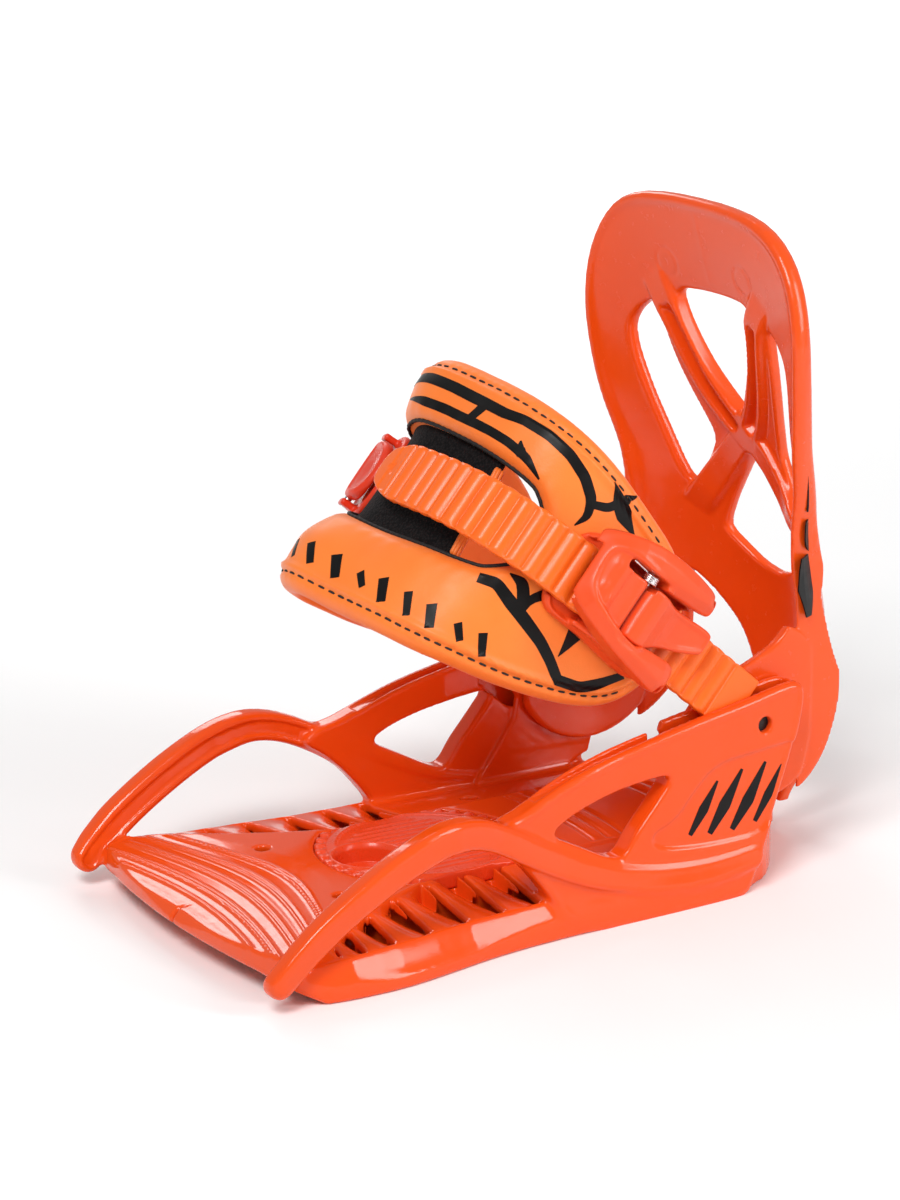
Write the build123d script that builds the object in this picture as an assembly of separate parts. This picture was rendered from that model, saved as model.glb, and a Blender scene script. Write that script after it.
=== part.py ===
"""Child's strap-in snowboard binding with one ankle strap and a highback, in millimetres.

+X runs from toe to heel, +Z is up, and the two strap anchors lie along Y.  The ratchet buckle is on the
-Y side.  The origin is the centre of the two insert screws, on the plane of the board.
"""
from build123d import *
from math import cos, sin, radians, degrees, pi, hypot, copysign, atan2
import os

os.makedirs("parts", exist_ok=True)

# ---- board interface and moulded floor ----
insert_spacing = 40.0
screw_hole_r = 3.2
screw_head_r = 11.0
floor_top = 16.0
crest_height = 12.0
skirt_half_width = 66.0
band_half_width = 28.0
skin = 4.0
toe_x = -88.0
heel_x = 127.0
disc_r = 34.0
disc_half_width = 26.8
disc_flange = 5.0

# ---- heel walls: outer skin, strap channel, inner skin, highback ear ----
wall_outer_y = 55.0
wall_skin = 3.4
channel_outer_y = wall_outer_y - wall_skin
channel_inner_y = 47.4
inner_skin_y = 45.0
ear_outer_y = 44.6
ear_thickness = 3.4
pivot_x = 91.2
pivot_z = 54.7
bolt_r = 2.5
running_gap = 0.05
ear_reach = 31.0

# ---- ankle strap: an arch in a plane that leans forward from the lateral anchor axis ----
strap_lean = 40.7
arch_height = 121.5
arch_half_width = 50.0
far_widening = 3.0
ladder_half_width = 9.8
ladder_thickness = 3.2
channel_centre_y = (channel_outer_y + channel_inner_y) / 2

# ---- padded strap ----
pad_outer_offset = -5.2
pad_thickness = 11.0
pad_inner_offset = pad_outer_offset - pad_thickness
lining_thickness = 2.4

# ---- buckle, in strap coordinates: u along the strap, v across it, n outward ----
lever_pin_u = 84.0
lever_pin_n = 56.6
pawl_pin_u = 66.0
pawl_pin_n = 58.4
pin_r = 1.25
buckle_screw_u = 48.0
tray_low = -4.6
tray_high = -2.6

strap_plane = Plane(
    origin=(pivot_x, 0, pivot_z),
    x_dir=(-cos(radians(strap_lean)), 0, sin(radians(strap_lean))),
    z_dir=(sin(radians(strap_lean)), 0, cos(radians(strap_lean))),
)


# ---------------------------------------------------------------- helpers
def save(name, *solids):
    """Write one node; several separate solids go in as a group."""
    shape = solids[0] if len(solids) == 1 else Compound(children=list(solids))
    export_step(shape, f"parts/{name}.step")
    print(name, "solids", len(shape.solids()), "volume", round(shape.volume))


def side_block(points, y_low, y_high):
    """A side-view outline (x, z) given depth along Y."""
    outline = make_face(Polyline(*points, close=True))
    face = Plane.XZ * outline
    return Pos(0, y_high, 0) * extrude(face, y_high - y_low)


def top_block(points, z_low, z_high):
    """A plan-view outline (x, y) given height."""
    return Pos(0, 0, z_low) * extrude(make_face(Polyline(*points, close=True)), z_high - z_low)


def front_block(outline, x_low, x_high):
    """A front-view outline, drawn as (y, z), given depth along X."""
    return Pos(x_low, 0, 0) * extrude(Plane.YZ * outline, x_high - x_low)


def y_rod(x, z, radius, y_low, y_high):
    """A round bar along Y."""
    length = y_high - y_low
    return Pos(x, (y_low + y_high) / 2, z) * (Rot(90, 0, 0) * Cylinder(radius, length))


def z_rod(x, y, radius, z_low, z_high):
    """A round bar along Z."""
    return Pos(x, y, (z_low + z_high) / 2) * Cylinder(radius, z_high - z_low)


def both_sides(shape):
    """The shape and its mirror image across the lateral middle plane."""
    return [shape, mirror(shape, about=Plane.XZ)]


# ---------------------------------------------------------------- base frame
def floor_block(drop=0.0, inset=0.0):
    """The crowned floor with its toe ramp and sloping skirts, lowered and drawn in for the cavity."""
    top = floor_top - drop
    crest = crest_height - drop
    half_plan = [
        (toe_x + inset, 0), (-85 + inset, 52 - inset), (-86 + inset, 60 - inset), (-80, 63.2 - inset),
        (-62, 64.5 - inset),
        (-40, 65 - inset), (-10, 58.5 - inset), (16, 56.2 - inset), (82, 55.6 - inset), (101, 46 - inset),
        (118, 24 - inset), (heel_x - inset, 9), (heel_x - inset, 0),
    ]
    plan = half_plan + [(x, -y) for x, y in reversed(half_plan[1:-1])]
    half_crown = [(0, top), (band_half_width, top), (57 - inset, crest),
                  (skirt_half_width - inset, 3 - drop)]
    crown = half_crown + [(skirt_half_width - inset, -9), (inset - skirt_half_width, -9)]
    crown += [(-y, z) for y, z in reversed(half_crown[1:])]
    ramp = [
        (toe_x, 9.5), (-86, 13 - drop), (-62, 15 - drop), (-40, top), (108, top), (heel_x, 11 - drop),
        (heel_x, 0), (-68, 0), (-85, 8),
    ]
    block = top_block(plan, 0, floor_top)
    block &= front_block(make_face(Polyline(*crown, close=True)), toe_x - 1, heel_x + 1)
    return block & side_block(ramp, -70, 70)


def underside_pockets():
    """Square pockets between moulded ribs, open to the board."""
    pitch = 21.0
    pocket = 18.2
    cells = []
    for column in range(10):
        for row in range(-2, 3):
            x = -71 + column * pitch
            y = row * pitch
            under_disc = abs(row) < 2 and abs(x) < disc_r + pocket / 2 + 2
            if not under_disc:
                cells.append(Pos(x, y, 6) * Box(pocket, pocket, 14))
    return Compound(children=cells) & floor_block(drop=skin, inset=5.0)


def louvre_slots():
    """Slanted slots that let snow out, six on each side, growing toward the heel."""
    slots = []
    for index in range(6):
        x = -53 + index * 11.5
        reach = 9 + index * 2.6
        inner = 53.0 - index * 1.4 - reach * 0.55
        outline = [
            (x, inner + reach * 0.55), (x + 3.6, inner + reach * 0.55),
            (x + reach * 0.55 + 3.6, inner - reach * 0.45), (x + reach * 0.55, inner - reach * 0.45),
        ]
        slots += both_sides(top_block(outline, -1, 20))
    return slots


def side_arms():
    """The pair of side frames: front loop, rear arm, lower beam and heel wall."""
    outline = [
        (-89.5, 14), (-80, 24), (-66, 34), (-52, 41.5), (-38, 47), (-27, 48.5), (-18, 46), (-8, 40.8),
        (14, 45.5), (36, 52.5), (66, 60.3), (96, 66.5), (104, 66), (106.3, 61), (104.7, 47), (97.5, 29),
        (92.5, 13), (86, 0), (20, 0), (20, 13), (-70, 13), (-72, 0), (-80, 6.5),
    ]
    front_opening = [
        (-71, 5), (-71, 14), (-62, 23.5), (-46, 33), (-30, 38.8), (-19, 39), (-9, 33.5), (2, 27),
        (12, 20),
        (19.5, 13.4), (19.5, 5),
    ]
    rear_opening = [(13.8, 33.7), (22, 39.5), (34, 43), (58.3, 44.5), (51, 36), (44, 27.5),
                    (37.4, 22.4), (29, 23.6)]
    plan_outer = [(-92, 63.8), (-60, 63.3), (-27, 61.4), (-10, 59.8), (14, 56.6), (37, 55), (110, 55)]
    plan_inner = [(110, 47.4), (48, 47.4), (37, 47), (14, 48.5), (-10, 51.8), (-27, 53.4), (-60, 55.3),
                  (-92, 55.8)]
    arm = side_block(outline, 40, 70) & top_block(plan_outer + plan_inner, -1, 80)
    arm -= side_block(front_opening, 40, 70)
    arm -= side_block(rear_opening, 40, 70)
    inner_skin = side_block(
        [(48, 13), (66, 38), (64, 59.8), (96, 66.5), (104, 66), (106.3, 61), (104.7, 47), (97.5, 29),
         (92.5, 13)],
        inner_skin_y, channel_inner_y + 0.01,
    )
    channel = side_block(
        [(52, 47), (62, 38), (80, 33), (96, 34), (102.6, 47), (102.6, 80), (52, 80)],
        channel_inner_y, channel_outer_y,
    )
    arm = arm + inner_skin - channel
    arm -= y_rod(pivot_x, pivot_z, bolt_r, 40, 60)
    return both_sides(arm)


def base_frame():
    body = floor_block() - underside_pockets()
    for slot in louvre_slots():
        body -= slot
    for arm in side_arms():
        body += arm
    heel_stop = side_block([(112, 2), (129.6, 2), (129.6, 12.5), (126.5, 15), (112, 15)], -11, 11)
    body += heel_stop
    body -= disc_outline(disc_r + 0.2, disc_half_width + 0.2, floor_top - disc_flange, 30)
    body -= disc_outline(disc_r - 7.8, disc_half_width - 7.8, -5, 20)
    for y in (-33.0, 33.0):
        body -= z_rod(38, y, 2.6, -1, 20)
        body -= z_rod(-44, y * 0.72, 2.2, floor_top - 6, 20)
    return body


def disc_outline(radius, half_width, z_low, z_high):
    """A round plate with two flats, at the insert screws."""
    return z_rod(0, 0, radius, z_low, z_high) & Pos(0, 0, (z_low + z_high) / 2) * Box(
        2 * radius + 2, 2 * half_width, z_high - z_low + 2
    )


def mounting_disc():
    """The clamping disc: two countersunk screw holes on the insert spacing, and a small centre hole."""
    disc = disc_outline(disc_r, disc_half_width, floor_top - disc_flange + 0.1, floor_top + 0.4)
    disc += disc_outline(disc_r - 8, disc_half_width - 8, 0, floor_top - disc_flange + 0.1)
    for x in (-insert_spacing / 2, insert_spacing / 2):
        disc -= z_rod(x, 0, screw_hole_r, -1, 20)
        disc -= Pos(x, 0, 7.5) * Cone(screw_hole_r, 8.0, 5.0)
        disc -= z_rod(x, 0, screw_head_r - 1.0, 10, 20)
        disc -= Pos(x, 0, floor_top + 0.4 - 1.0) * Cone(screw_head_r - 1.0, screw_head_r, 2.01)
    disc -= z_rod(0, 0, 2.6, -1, 20)
    teeth = 40
    for index in range(teeth):
        angle = 2 * pi * index / teeth
        x = disc_r * cos(angle)
        y = disc_r * sin(angle)
        if abs(y) < disc_half_width - 1:
            disc -= z_rod(x, y, 1.0, floor_top - 1.2, 20)
    return disc


# ---------------------------------------------------------------- highback
# height, front edge x, outer half width, depth of the hollow, roundness exponent
highback_stations = [
    (13, 96, 44.6, 35, 1.0),
    (30, 96, 44.6, 46, 1.0),
    (50, 96, 44.6, 46, 1.0),
    (70, 102, 44.6, 37, 1.05),
    (90, 109, 44.7, 26, 1.3),
    (115, 107.5, 46, 21, 1.8),
    (135, 101.5, 51.5, 20.5, 2.0),
    (160, 97.5, 56.5, 15.5, 2.0),
    (185, 96.5, 58, 8.5, 2.0),
    (212, 95.5, 58, 2.5, 2.0),
]
shell_thickness = 4.0


def shell_section(height, edge_x, half_width, depth, roundness):
    """One level of the highback: a hollow curve open toward the toe."""
    steps = 12
    angles = [pi * (index / steps - 0.5) for index in range(steps + 1)]

    def curve(width, reach):
        return [(edge_x + reach * abs(cos(a)) ** roundness, width * sin(a), height) for a in angles]

    inner = curve(half_width - ear_thickness, depth)
    outer = curve(half_width, depth + shell_thickness)
    edges = [
        Spline(*inner),
        Line(inner[-1], outer[-1]),
        Spline(*reversed(outer)),
        Line(outer[0], inner[0]),
    ]
    return make_face(Wire(edges))


def window(points):
    """A front-view outline cut through the back of the shell."""
    return front_block(make_face(Polyline(*points, close=True)), 99, 170)


def highback():
    shell = loft([shell_section(*station) for station in highback_stations])
    head = [(57.5, 150), (57.2, 170), (54.5, 184), (49.5, 194), (42, 202.5), (30, 208), (15, 210.3)]
    head_outline = [(62, 0)] + [(62, 145)] + head + [(-y, z) for y, z in reversed(head)]
    head_outline += [(-62, 145), (-62, 0)]
    shell &= front_block(make_face(Polyline(*head_outline, close=True)), 50, 200)

    ear_outline = [(76, 20), (76, 62), (96, 69), (104, 76), (112, 78), (112, 20)]
    ear = side_block(ear_outline, ear_outer_y - ear_thickness, ear_outer_y)
    ear &= y_rod(pivot_x, pivot_z, ear_reach, 30, 60)
    for piece in both_sides(ear):
        shell += piece

    side_gap = [(13, 0), (13, 20), (15, 46), (18.2, 57), (22, 65), (28, 73.5), (33, 80), (37, 84),
                (39, 78),
                (40.2, 60), (40.6, 40), (40.6, 0)]
    outer_window = [(41.2, 163), (36, 168.6), (30, 172), (28.2, 158), (23.8, 145), (19.2, 131),
                    (19.6, 126.5),
                    (24, 116.5), (27.6, 112), (31, 116), (35.5, 129), (39.5, 146), (41.6, 156)]
    for outline in (side_gap, outer_window):
        shell -= window(outline)
        shell -= window([(-y, z) for y, z in outline])
    shell -= window([(18.5, 177), (9, 179), (-9, 179), (-18.5, 177), (-16.8, 168), (-13, 158.5),
                     (-7, 149.4),
                     (0, 139.5), (7, 149.4), (13, 158.5), (16.8, 168)])
    shell -= window([(0, 126), (10, 114), (18.6, 97.5), (13, 91), (5, 85.5), (0, 84.6), (-5, 85.5),
                     (-13, 91),
                     (-18.6, 97.5), (-10, 114)])
    keep_wings = (y_rod(pivot_x, pivot_z, ear_reach, -60, 60)
                  + Pos(pivot_x, 0, pivot_z + 100) * Box(200, 130, 200))
    tongue = Pos(140, 0, 40) * Box(60, 56, 80)
    shell &= keep_wings + tongue
    for side in (-1, 1):
        y_low, y_high = sorted((side * 30, side * 60))
        shell -= y_rod(pivot_x, pivot_z, bolt_r + running_gap, y_low, y_high)
    return shell


# ---------------------------------------------------------------- anchors
def anchor_bolt():
    """Headed from inside, through washer, ear, inner skin and strap, into the outer skin."""
    head_y = ear_outer_y - ear_thickness - 1.5
    bolt = y_rod(pivot_x, pivot_z, bolt_r, head_y, wall_outer_y - 2.4)
    bolt += y_rod(pivot_x, pivot_z, 5.0, head_y - 2.4, head_y)
    for angle in (0, 90):
        slot = Pos(pivot_x, head_y - 2.4, pivot_z) * (Rot(0, angle, 0) * Box(5.4, 2.6, 1.2))
        bolt -= slot
    return bolt


def anchor_washer():
    inner_face = ear_outer_y - ear_thickness
    ring = y_rod(pivot_x, pivot_z, 6.5, inner_face - 1.5, inner_face - 0.3)
    return ring - y_rod(pivot_x, pivot_z, bolt_r, 30, 60)


# ---------------------------------------------------------------- arch geometry
def arch_point(angle, offset=0.0):
    """A point of the strap arch in its own plane; angle 0 is the near anchor and pi the far one."""
    def base(a):
        c = cos(a)
        u = arch_height * sin(a) ** 0.4
        half = arch_half_width
        if c < 0:
            half += far_widening * min(1.0, max(0.0, (u - 25) / 50))
        return u, half * copysign(abs(c) ** 0.67, c)

    delta = 0.004
    u0, n0 = base(max(angle - delta, 0.001))
    u1, n1 = base(min(angle + delta, pi - 0.001))
    u, n = base(angle)
    length = hypot(u1 - u0, n1 - n0)
    return u - offset * (n1 - n0) / length, n + offset * (u1 - u0) / length


def pad_swell(angle):
    """How much further out the pad stands than on the buckle side, where no buckle presses on it."""
    knots = [
        (0.0, 0.0), (1.2, 0.0), (1.5, 2.5), (1.85, 6.5), (2.2, 8.0), (2.42, 4.2), (2.6, 1.6), (2.85, 0.0),
        (3.2, 0.0),
    ]
    for (a0, h0), (a1, h1) in zip(knots, knots[1:]):
        if a0 <= angle <= a1:
            return h0 + (h1 - h0) * (angle - a0) / (a1 - a0)
    return 0.0


def swollen_band(low, high, start, end, v_low, v_high, count):
    """Like arch_band, following the pad's swell."""
    angles = [start + (end - start) * i / (count - 1) for i in range(count)]
    inner = [arch_point(a, low + pad_swell(a)) for a in angles]
    outer = [arch_point(a, high + pad_swell(a)) for a in angles]
    wire = Wire([Spline(*inner), Line(inner[-1], outer[-1]), Spline(*reversed(outer)),
                 Line(outer[0], inner[0])])
    return Pos(0, 0, v_low) * extrude(make_face(wire), v_high - v_low)


def arch_curve(offset, start, end, count=15):
    """Points along the arch, start and end as angles."""
    return [arch_point(start + (end - start) * i / (count - 1), offset) for i in range(count)]


def arch_band(low, high, start, end, v_low, v_high, count=15):
    """A curved slab between two offsets of the arch, extruded across the strap."""
    inner = arch_curve(low, start, end, count)
    outer = arch_curve(high, start, end, count)
    wire = Wire([Spline(*inner), Line(inner[-1], outer[-1]), Spline(*reversed(outer)),
                 Line(outer[0], inner[0])])
    return Pos(0, 0, v_low) * extrude(make_face(wire), v_high - v_low)


def across_block(points, n_low, n_high):
    """An outline drawn as (u, v) given depth along n, in strap coordinates."""
    face = Plane.XZ * make_face(Polyline(*points, close=True))
    return Pos(0, n_high, 0) * extrude(face, n_high - n_low)


def in_strap(shape):
    """Move a solid from strap coordinates into the row frame."""
    return strap_plane.location * shape


def n_rod(u, v, radius, n_low, n_high):
    """A round bar pointing out of the near side of the strap."""
    return Pos(u, (n_low + n_high) / 2, v) * (Rot(90, 0, 0) * Cylinder(radius, n_high - n_low))


def v_rod(u, n, radius, v_low, v_high):
    """A round bar across the strap."""
    return Pos(u, n, (v_low + v_high) / 2) * Cylinder(radius, v_high - v_low)


# ---------------------------------------------------------------- straps
def anchor_tail(side):
    """The flat end of a strap in its wall channel, round about the anchor bolt."""
    half = ladder_thickness / 2
    lug = (Pos(0, side * channel_centre_y, 0)
           * (Rot(90, 0, 0) * Cylinder(ladder_half_width, ladder_thickness)))
    shank = Pos(16, side * channel_centre_y, 0) * Box(32, ladder_thickness, 2 * ladder_half_width)
    hole_y = side * channel_centre_y
    hole = Pos(0, hole_y, 0) * (Rot(90, 0, 0) * Cylinder(bolt_r + running_gap, 4 * half))
    return lug + shank, hole


def ladder_strap():
    tail, hole = anchor_tail(1)
    start = 0.035
    end = 1.84
    half = ladder_thickness / 2
    band = arch_band(-half, half, start, end, -ladder_half_width, ladder_half_width)
    strap = band + tail
    teeth = 21
    for index in range(teeth):
        angle = 0.42 + index * 0.054
        u, n = arch_point(angle, half + 0.3)
        strap += Pos(u, n, 0) * (Rot(0, 0, tooth_turn(angle)) * Box(2.2, 1.4, 2 * ladder_half_width - 4))
    return in_strap(strap - hole)


def tooth_turn(angle):
    """Direction of the arch, in degrees, at an angle."""
    u0, n0 = arch_point(angle - 0.01)
    u1, n1 = arch_point(angle + 0.01)
    return degrees(atan2(n1 - n0, u1 - u0))


def far_strap():
    tail, hole = anchor_tail(-1)
    half = ladder_thickness / 2
    band = arch_band(-half, half, pi - 1.02, pi - 0.035, -ladder_half_width, ladder_half_width)
    screw_hole = adjuster_plane().location * (Pos(-4, 0, 0) * Cylinder(1.95, 8))
    return in_strap(band + tail - hole - screw_hole)


# ---------------------------------------------------------------- pad
pad_side = [(36, -12), (40, -22), (51, -29), (65, -35), (85, -41), (101, -44), (113, -46), (126, -47.5)]
pad_side_rear = [(126, 41.5), (112, 38.5), (93, 36), (74, 31), (55, 26), (43, 19), (36, 9)]
slot_outline = [(96, 0), (99, -7), (105, -12), (112, -16.5), (126, -19.5), (126, 20), (112, 16.5),
                (105, 13), (99, 8)]


def pad_shell():
    block = swollen_band(pad_inner_offset, pad_outer_offset, 0.0016, pi - 0.0016, -52, 52, 31)
    outline = across_block(pad_side + pad_side_rear, -70, 70)
    slot = across_block(slot_outline, -70, 70)
    nut_pocket = Pos(buckle_screw_u, 40.6, 0) * Box(8.4, 2.4, 12.4)
    screw_hole = n_rod(buckle_screw_u, 0, 2.1, 40, 48)
    far_hole = adjuster_plane().location * (Pos(-4, 0, 0) * Cylinder(1.95, 24))
    return in_strap((block & outline) - slot - nut_pocket - screw_hole - far_hole)


def pad_lining():
    """The knitted lining across the slot, from the far shoulder to a seam short of the buckle."""
    centre = pad_inner_offset + 4.0
    band = swollen_band(centre, centre + lining_thickness, 1.12, pi - 0.32, -30, 30, 21)
    inset = [(98.6, 0), (101, -5.6), (106, -10.8), (112, -15.6), (126, -18.8), (126, 19.3), (112, 15.6),
             (106, 11.8), (101, 6.6)]
    far_hole = adjuster_plane().location * (Pos(-4, 0, 0) * Cylinder(1.95, 24))
    return in_strap((band & across_block(inset, -70, 70)) - far_hole)


def seam_tape():
    centre = pad_inner_offset + 4.0
    band = arch_band(centre + lining_thickness + 0.05, centre + lining_thickness + 0.85, 1.13, 1.19,
                     -14, 13, 7)
    return in_strap(band)


def piping(edge, outward):
    """A welt that follows one long edge of the pad."""
    centre = pad_outer_offset - 4.0
    band = swollen_band(centre - 1.2, centre + 1.2, 0.0016, pi - 0.0016, -60, 60, 31)
    moved = [(u, v + outward * 0.1) for u, v in edge]
    moved += [(u, v + outward * 2.2) for u, v in reversed(edge)]
    return in_strap(band & across_block(moved, -70, 70))


# ---------------------------------------------------------------- buckle
def buckle_base():
    """The tray on the pad: a floor under the ladder, a front lip and two cheeks that hold the pins."""
    tray = arch_band(tray_low, tray_high, 0.085, 0.62, -13.4, 13.4)
    lip = arch_band(tray_low, tray_high + 0.6, 0.58, 0.64, -16.5, 16.5, 5)
    tray += lip
    for side in (-1, 1):
        tray += across_cheek(side * 12.0, 1.4)
    tray -= v_rod(lever_pin_u, lever_pin_n, pin_r, -20, 20)
    tray -= v_rod(pawl_pin_u, pawl_pin_n, pin_r, -20, 20)
    tray -= n_rod(buckle_screw_u, 0, 2.05, 40, 50)
    tray -= n_rod(buckle_screw_u, 0, 3.5, buckle_floor_n() - 1.3, 50)
    return in_strap(tray)


def buckle_floor_n():
    """How far out the tray's upper face is at the mounting screw."""
    angles = [0.05 + 0.001 * i for i in range(400)]
    return min((abs(arch_point(a, tray_high)[0] - buckle_screw_u), arch_point(a, tray_high)[1])
               for a in angles)[1]


def across_cheek(v_centre, half_thickness):
    outline = [(58, 45.4), (70, 45.0), (88, 42.2), (90, 50), (87, 56.8), (84, 58.4), (79, 58.9),
               (68, 60.8),
               (63, 60.5), (58, 54)]
    face = make_face(Polyline(*outline, close=True))
    return Pos(0, 0, v_centre - half_thickness) * extrude(face, 2 * half_thickness)


def buckle_lever():
    """The ratchet lever: two long rails, a cross plate over the cheeks and a drive lip between them."""
    rail_outline = [(43, 57), (46, 61), (58, 64), (76, 63.5), (87, 60.6), (90.4, 57.6), (90, 54.6),
                    (80, 52.6),
                    (60, 54), (47, 54)]
    rail = extrude(make_face(Polyline(*rail_outline, close=True)), 3.0)
    plate_outline = [(71.5, 63.6), (84, 61.6), (84, 60.0), (71.5, 61.5)]
    plate = Pos(0, 0, -13.7) * extrude(make_face(Polyline(*plate_outline, close=True)), 27.4)
    lip_outline = [(80, 62.2), (87, 60.9), (90.4, 57.6), (90, 54.6), (88.4, 54.6), (88.2, 58.2),
                   (86, 59.9),
                   (80, 60.6)]
    lip = Pos(0, 0, -10.2) * extrude(make_face(Polyline(*lip_outline, close=True)), 20.4)
    lever = Pos(0, 0, 13.6) * rail + Pos(0, 0, -16.6) * rail + plate + lip
    return in_strap(lever - v_rod(lever_pin_u, lever_pin_n, pin_r + running_gap, -20, 20))


def buckle_pawl():
    """The release catch that drops into the ladder teeth."""
    outline = [(40, 54.2), (40.6, 57.6), (52, 61.6), (64, 62.4), (69.6, 60.6), (69.6, 57), (66, 55.2),
               (63, 52.8),
               (60.5, 52.8), (57, 55), (46, 53.4)]
    body = Pos(0, 0, -10.2) * extrude(make_face(Polyline(*outline, close=True)), 20.4)
    body -= Pos(51.5, 56.0, 0) * Box(7, 6, 12.4)
    body -= v_rod(pawl_pin_u, pawl_pin_n, 3.0, 5.4, 10.3)
    return in_strap(body - v_rod(pawl_pin_u, pawl_pin_n, pin_r + running_gap, -20, 20))


def cross_pin(u, n, half_length):
    return in_strap(v_rod(u, n, pin_r, -half_length, half_length))


def coil_spring(u, n, v_low, v_high):
    """A torsion spring drawn as close rings about its pin, joined by one bar."""
    turns = 4
    pitch = (v_high - v_low) / turns
    spring = Pos(u, n + 2.1, (v_low + v_high) / 2) * Box(0.8, 0.8, v_high - v_low)
    for index in range(turns):
        v = v_low + pitch * (index + 0.5)
        spring += v_rod(u, n, 2.5, v - 0.4, v + 0.4) - v_rod(u, n, 1.65, v - 1, v + 1)
    return in_strap(spring)


def buckle_screw():
    """Flush-head screw from the tray into the nut plate in the pad."""
    face = buckle_floor_n() - 0.1
    head = n_rod(buckle_screw_u, 0, 3.4, face - 1.2, face)
    return in_strap(head + n_rod(buckle_screw_u, 0, 2.0, 40, face - 1.2))


def buckle_nut():
    plate = Pos(buckle_screw_u, 40.6, 0) * Box(8.0, 2.0, 12.0)
    return in_strap(plate - n_rod(buckle_screw_u, 0, 2.0, 30, 50))


# ---------------------------------------------------------------- far side adjuster
adjuster_angle = pi - 0.80
plate_low = 1.7
plate_high = 4.1
adjuster_pin_height = 7.3


def adjuster_plane():
    u, n = arch_point(adjuster_angle, 0)
    u0, n0 = arch_point(adjuster_angle - 0.02, 0)
    u1, n1 = arch_point(adjuster_angle + 0.02, 0)
    along = Vector(u1 - u0, n1 - n0, 0).normalized()
    outward = Vector(0, 0, 1).cross(along)
    return Plane(origin=(u, n, 0), x_dir=along, z_dir=outward)


def adjuster_local(shape):
    """From adjuster coordinates, x along the strap and z outward, to the row frame."""
    return in_strap(adjuster_plane().location * shape)


def adjuster_plate():
    hexagon = make_face(Polyline((-11, -9), (-11, 9), (-4, 14.5), (6, 14.5), (11, 7), (11, -7),
                                 (6, -14.5),
                                 (-4, -14.5), close=True))
    plate = Pos(0, 0, plate_low) * extrude(hexagon, plate_high - plate_low)
    for side in (-1, 1):
        plate += Pos(4.5, side * 12.2, 6.5) * Box(6, 2.4, 6.0)
    plate -= Pos(-4, 0, 0) * Cylinder(1.9, 20)
    plate -= Pos(-4, 0, plate_high) * Cylinder(3.5, 2.6)
    return adjuster_local(plate - adjuster_pin_bar(1.2, 30))


def adjuster_pin_bar(radius, length):
    return Pos(5.0, 0, adjuster_pin_height) * (Rot(90, 0, 0) * Cylinder(radius, length))


def adjuster_tab():
    outline = make_face(Polyline((-9.5, -5), (-9.5, 5), (-5, 10.2), (7, 10.2), (7, -10.2), (-5, -10.2),
                                 close=True))
    tab = Pos(0, 0, adjuster_pin_height - 1.9) * extrude(outline, 3.6)
    return adjuster_local(tab - adjuster_pin_bar(1.2 + running_gap, 30))


def adjuster_screw():
    """Flush-head screw through plate and strap into the pad."""
    screw = Pos(-4, 0, plate_high - 0.7) * Cylinder(3.4, 1.2)
    screw += Pos(-4, 0, -2.7) * Cylinder(1.9, 11.6)
    return adjuster_local(screw)


# ---------------------------------------------------------------- write the nodes
save("base_frame", base_frame())
save("mounting_disc", mounting_disc())
save("highback", highback())
save("anchor_bolt_near", mirror(anchor_bolt(), about=Plane.XZ))
save("anchor_bolt_far", anchor_bolt())
save("anchor_washers", *both_sides(anchor_washer()))
save("ladder_strap", ladder_strap())
save("far_strap", far_strap())
save("pad_shell", pad_shell())
save("pad_lining", pad_lining())
save("seam_tape", seam_tape())
save("piping_front", piping(pad_side, -1))
save("piping_rear", piping(pad_side_rear, 1))
save("buckle_base", buckle_base())
save("buckle_lever", buckle_lever())
save("buckle_pawl", buckle_pawl())
save("lever_pin", cross_pin(lever_pin_u, lever_pin_n, 16.4))
save("pawl_pin", cross_pin(pawl_pin_u, pawl_pin_n, 13.4))
save("lever_spring", coil_spring(lever_pin_u, lever_pin_n, -9.6, -5.4))
save("pawl_spring", coil_spring(pawl_pin_u, pawl_pin_n, 5.7, 9.9))
save("buckle_screw", buckle_screw())
save("buckle_nut", buckle_nut())
save("adjuster_plate", adjuster_plate())
save("adjuster_tab", adjuster_tab())
save("adjuster_pin", adjuster_local(adjuster_pin_bar(1.2, 27.4)))
save("adjuster_screw", adjuster_screw())
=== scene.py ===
import math
import bpy
import numpy as np
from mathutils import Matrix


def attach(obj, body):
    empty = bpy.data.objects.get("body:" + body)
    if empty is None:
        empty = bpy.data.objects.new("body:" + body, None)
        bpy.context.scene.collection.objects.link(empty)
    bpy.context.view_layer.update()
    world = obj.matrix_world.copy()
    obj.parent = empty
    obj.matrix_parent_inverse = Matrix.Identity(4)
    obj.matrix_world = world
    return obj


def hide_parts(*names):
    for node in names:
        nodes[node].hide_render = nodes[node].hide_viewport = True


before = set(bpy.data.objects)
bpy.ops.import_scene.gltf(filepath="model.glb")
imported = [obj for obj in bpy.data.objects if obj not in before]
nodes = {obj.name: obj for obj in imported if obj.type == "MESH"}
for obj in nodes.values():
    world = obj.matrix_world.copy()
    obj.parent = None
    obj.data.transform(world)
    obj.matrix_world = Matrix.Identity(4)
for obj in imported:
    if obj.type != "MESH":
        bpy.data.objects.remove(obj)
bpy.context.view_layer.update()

import openvdb
from mathutils import Vector

MM = 0.001

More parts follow.
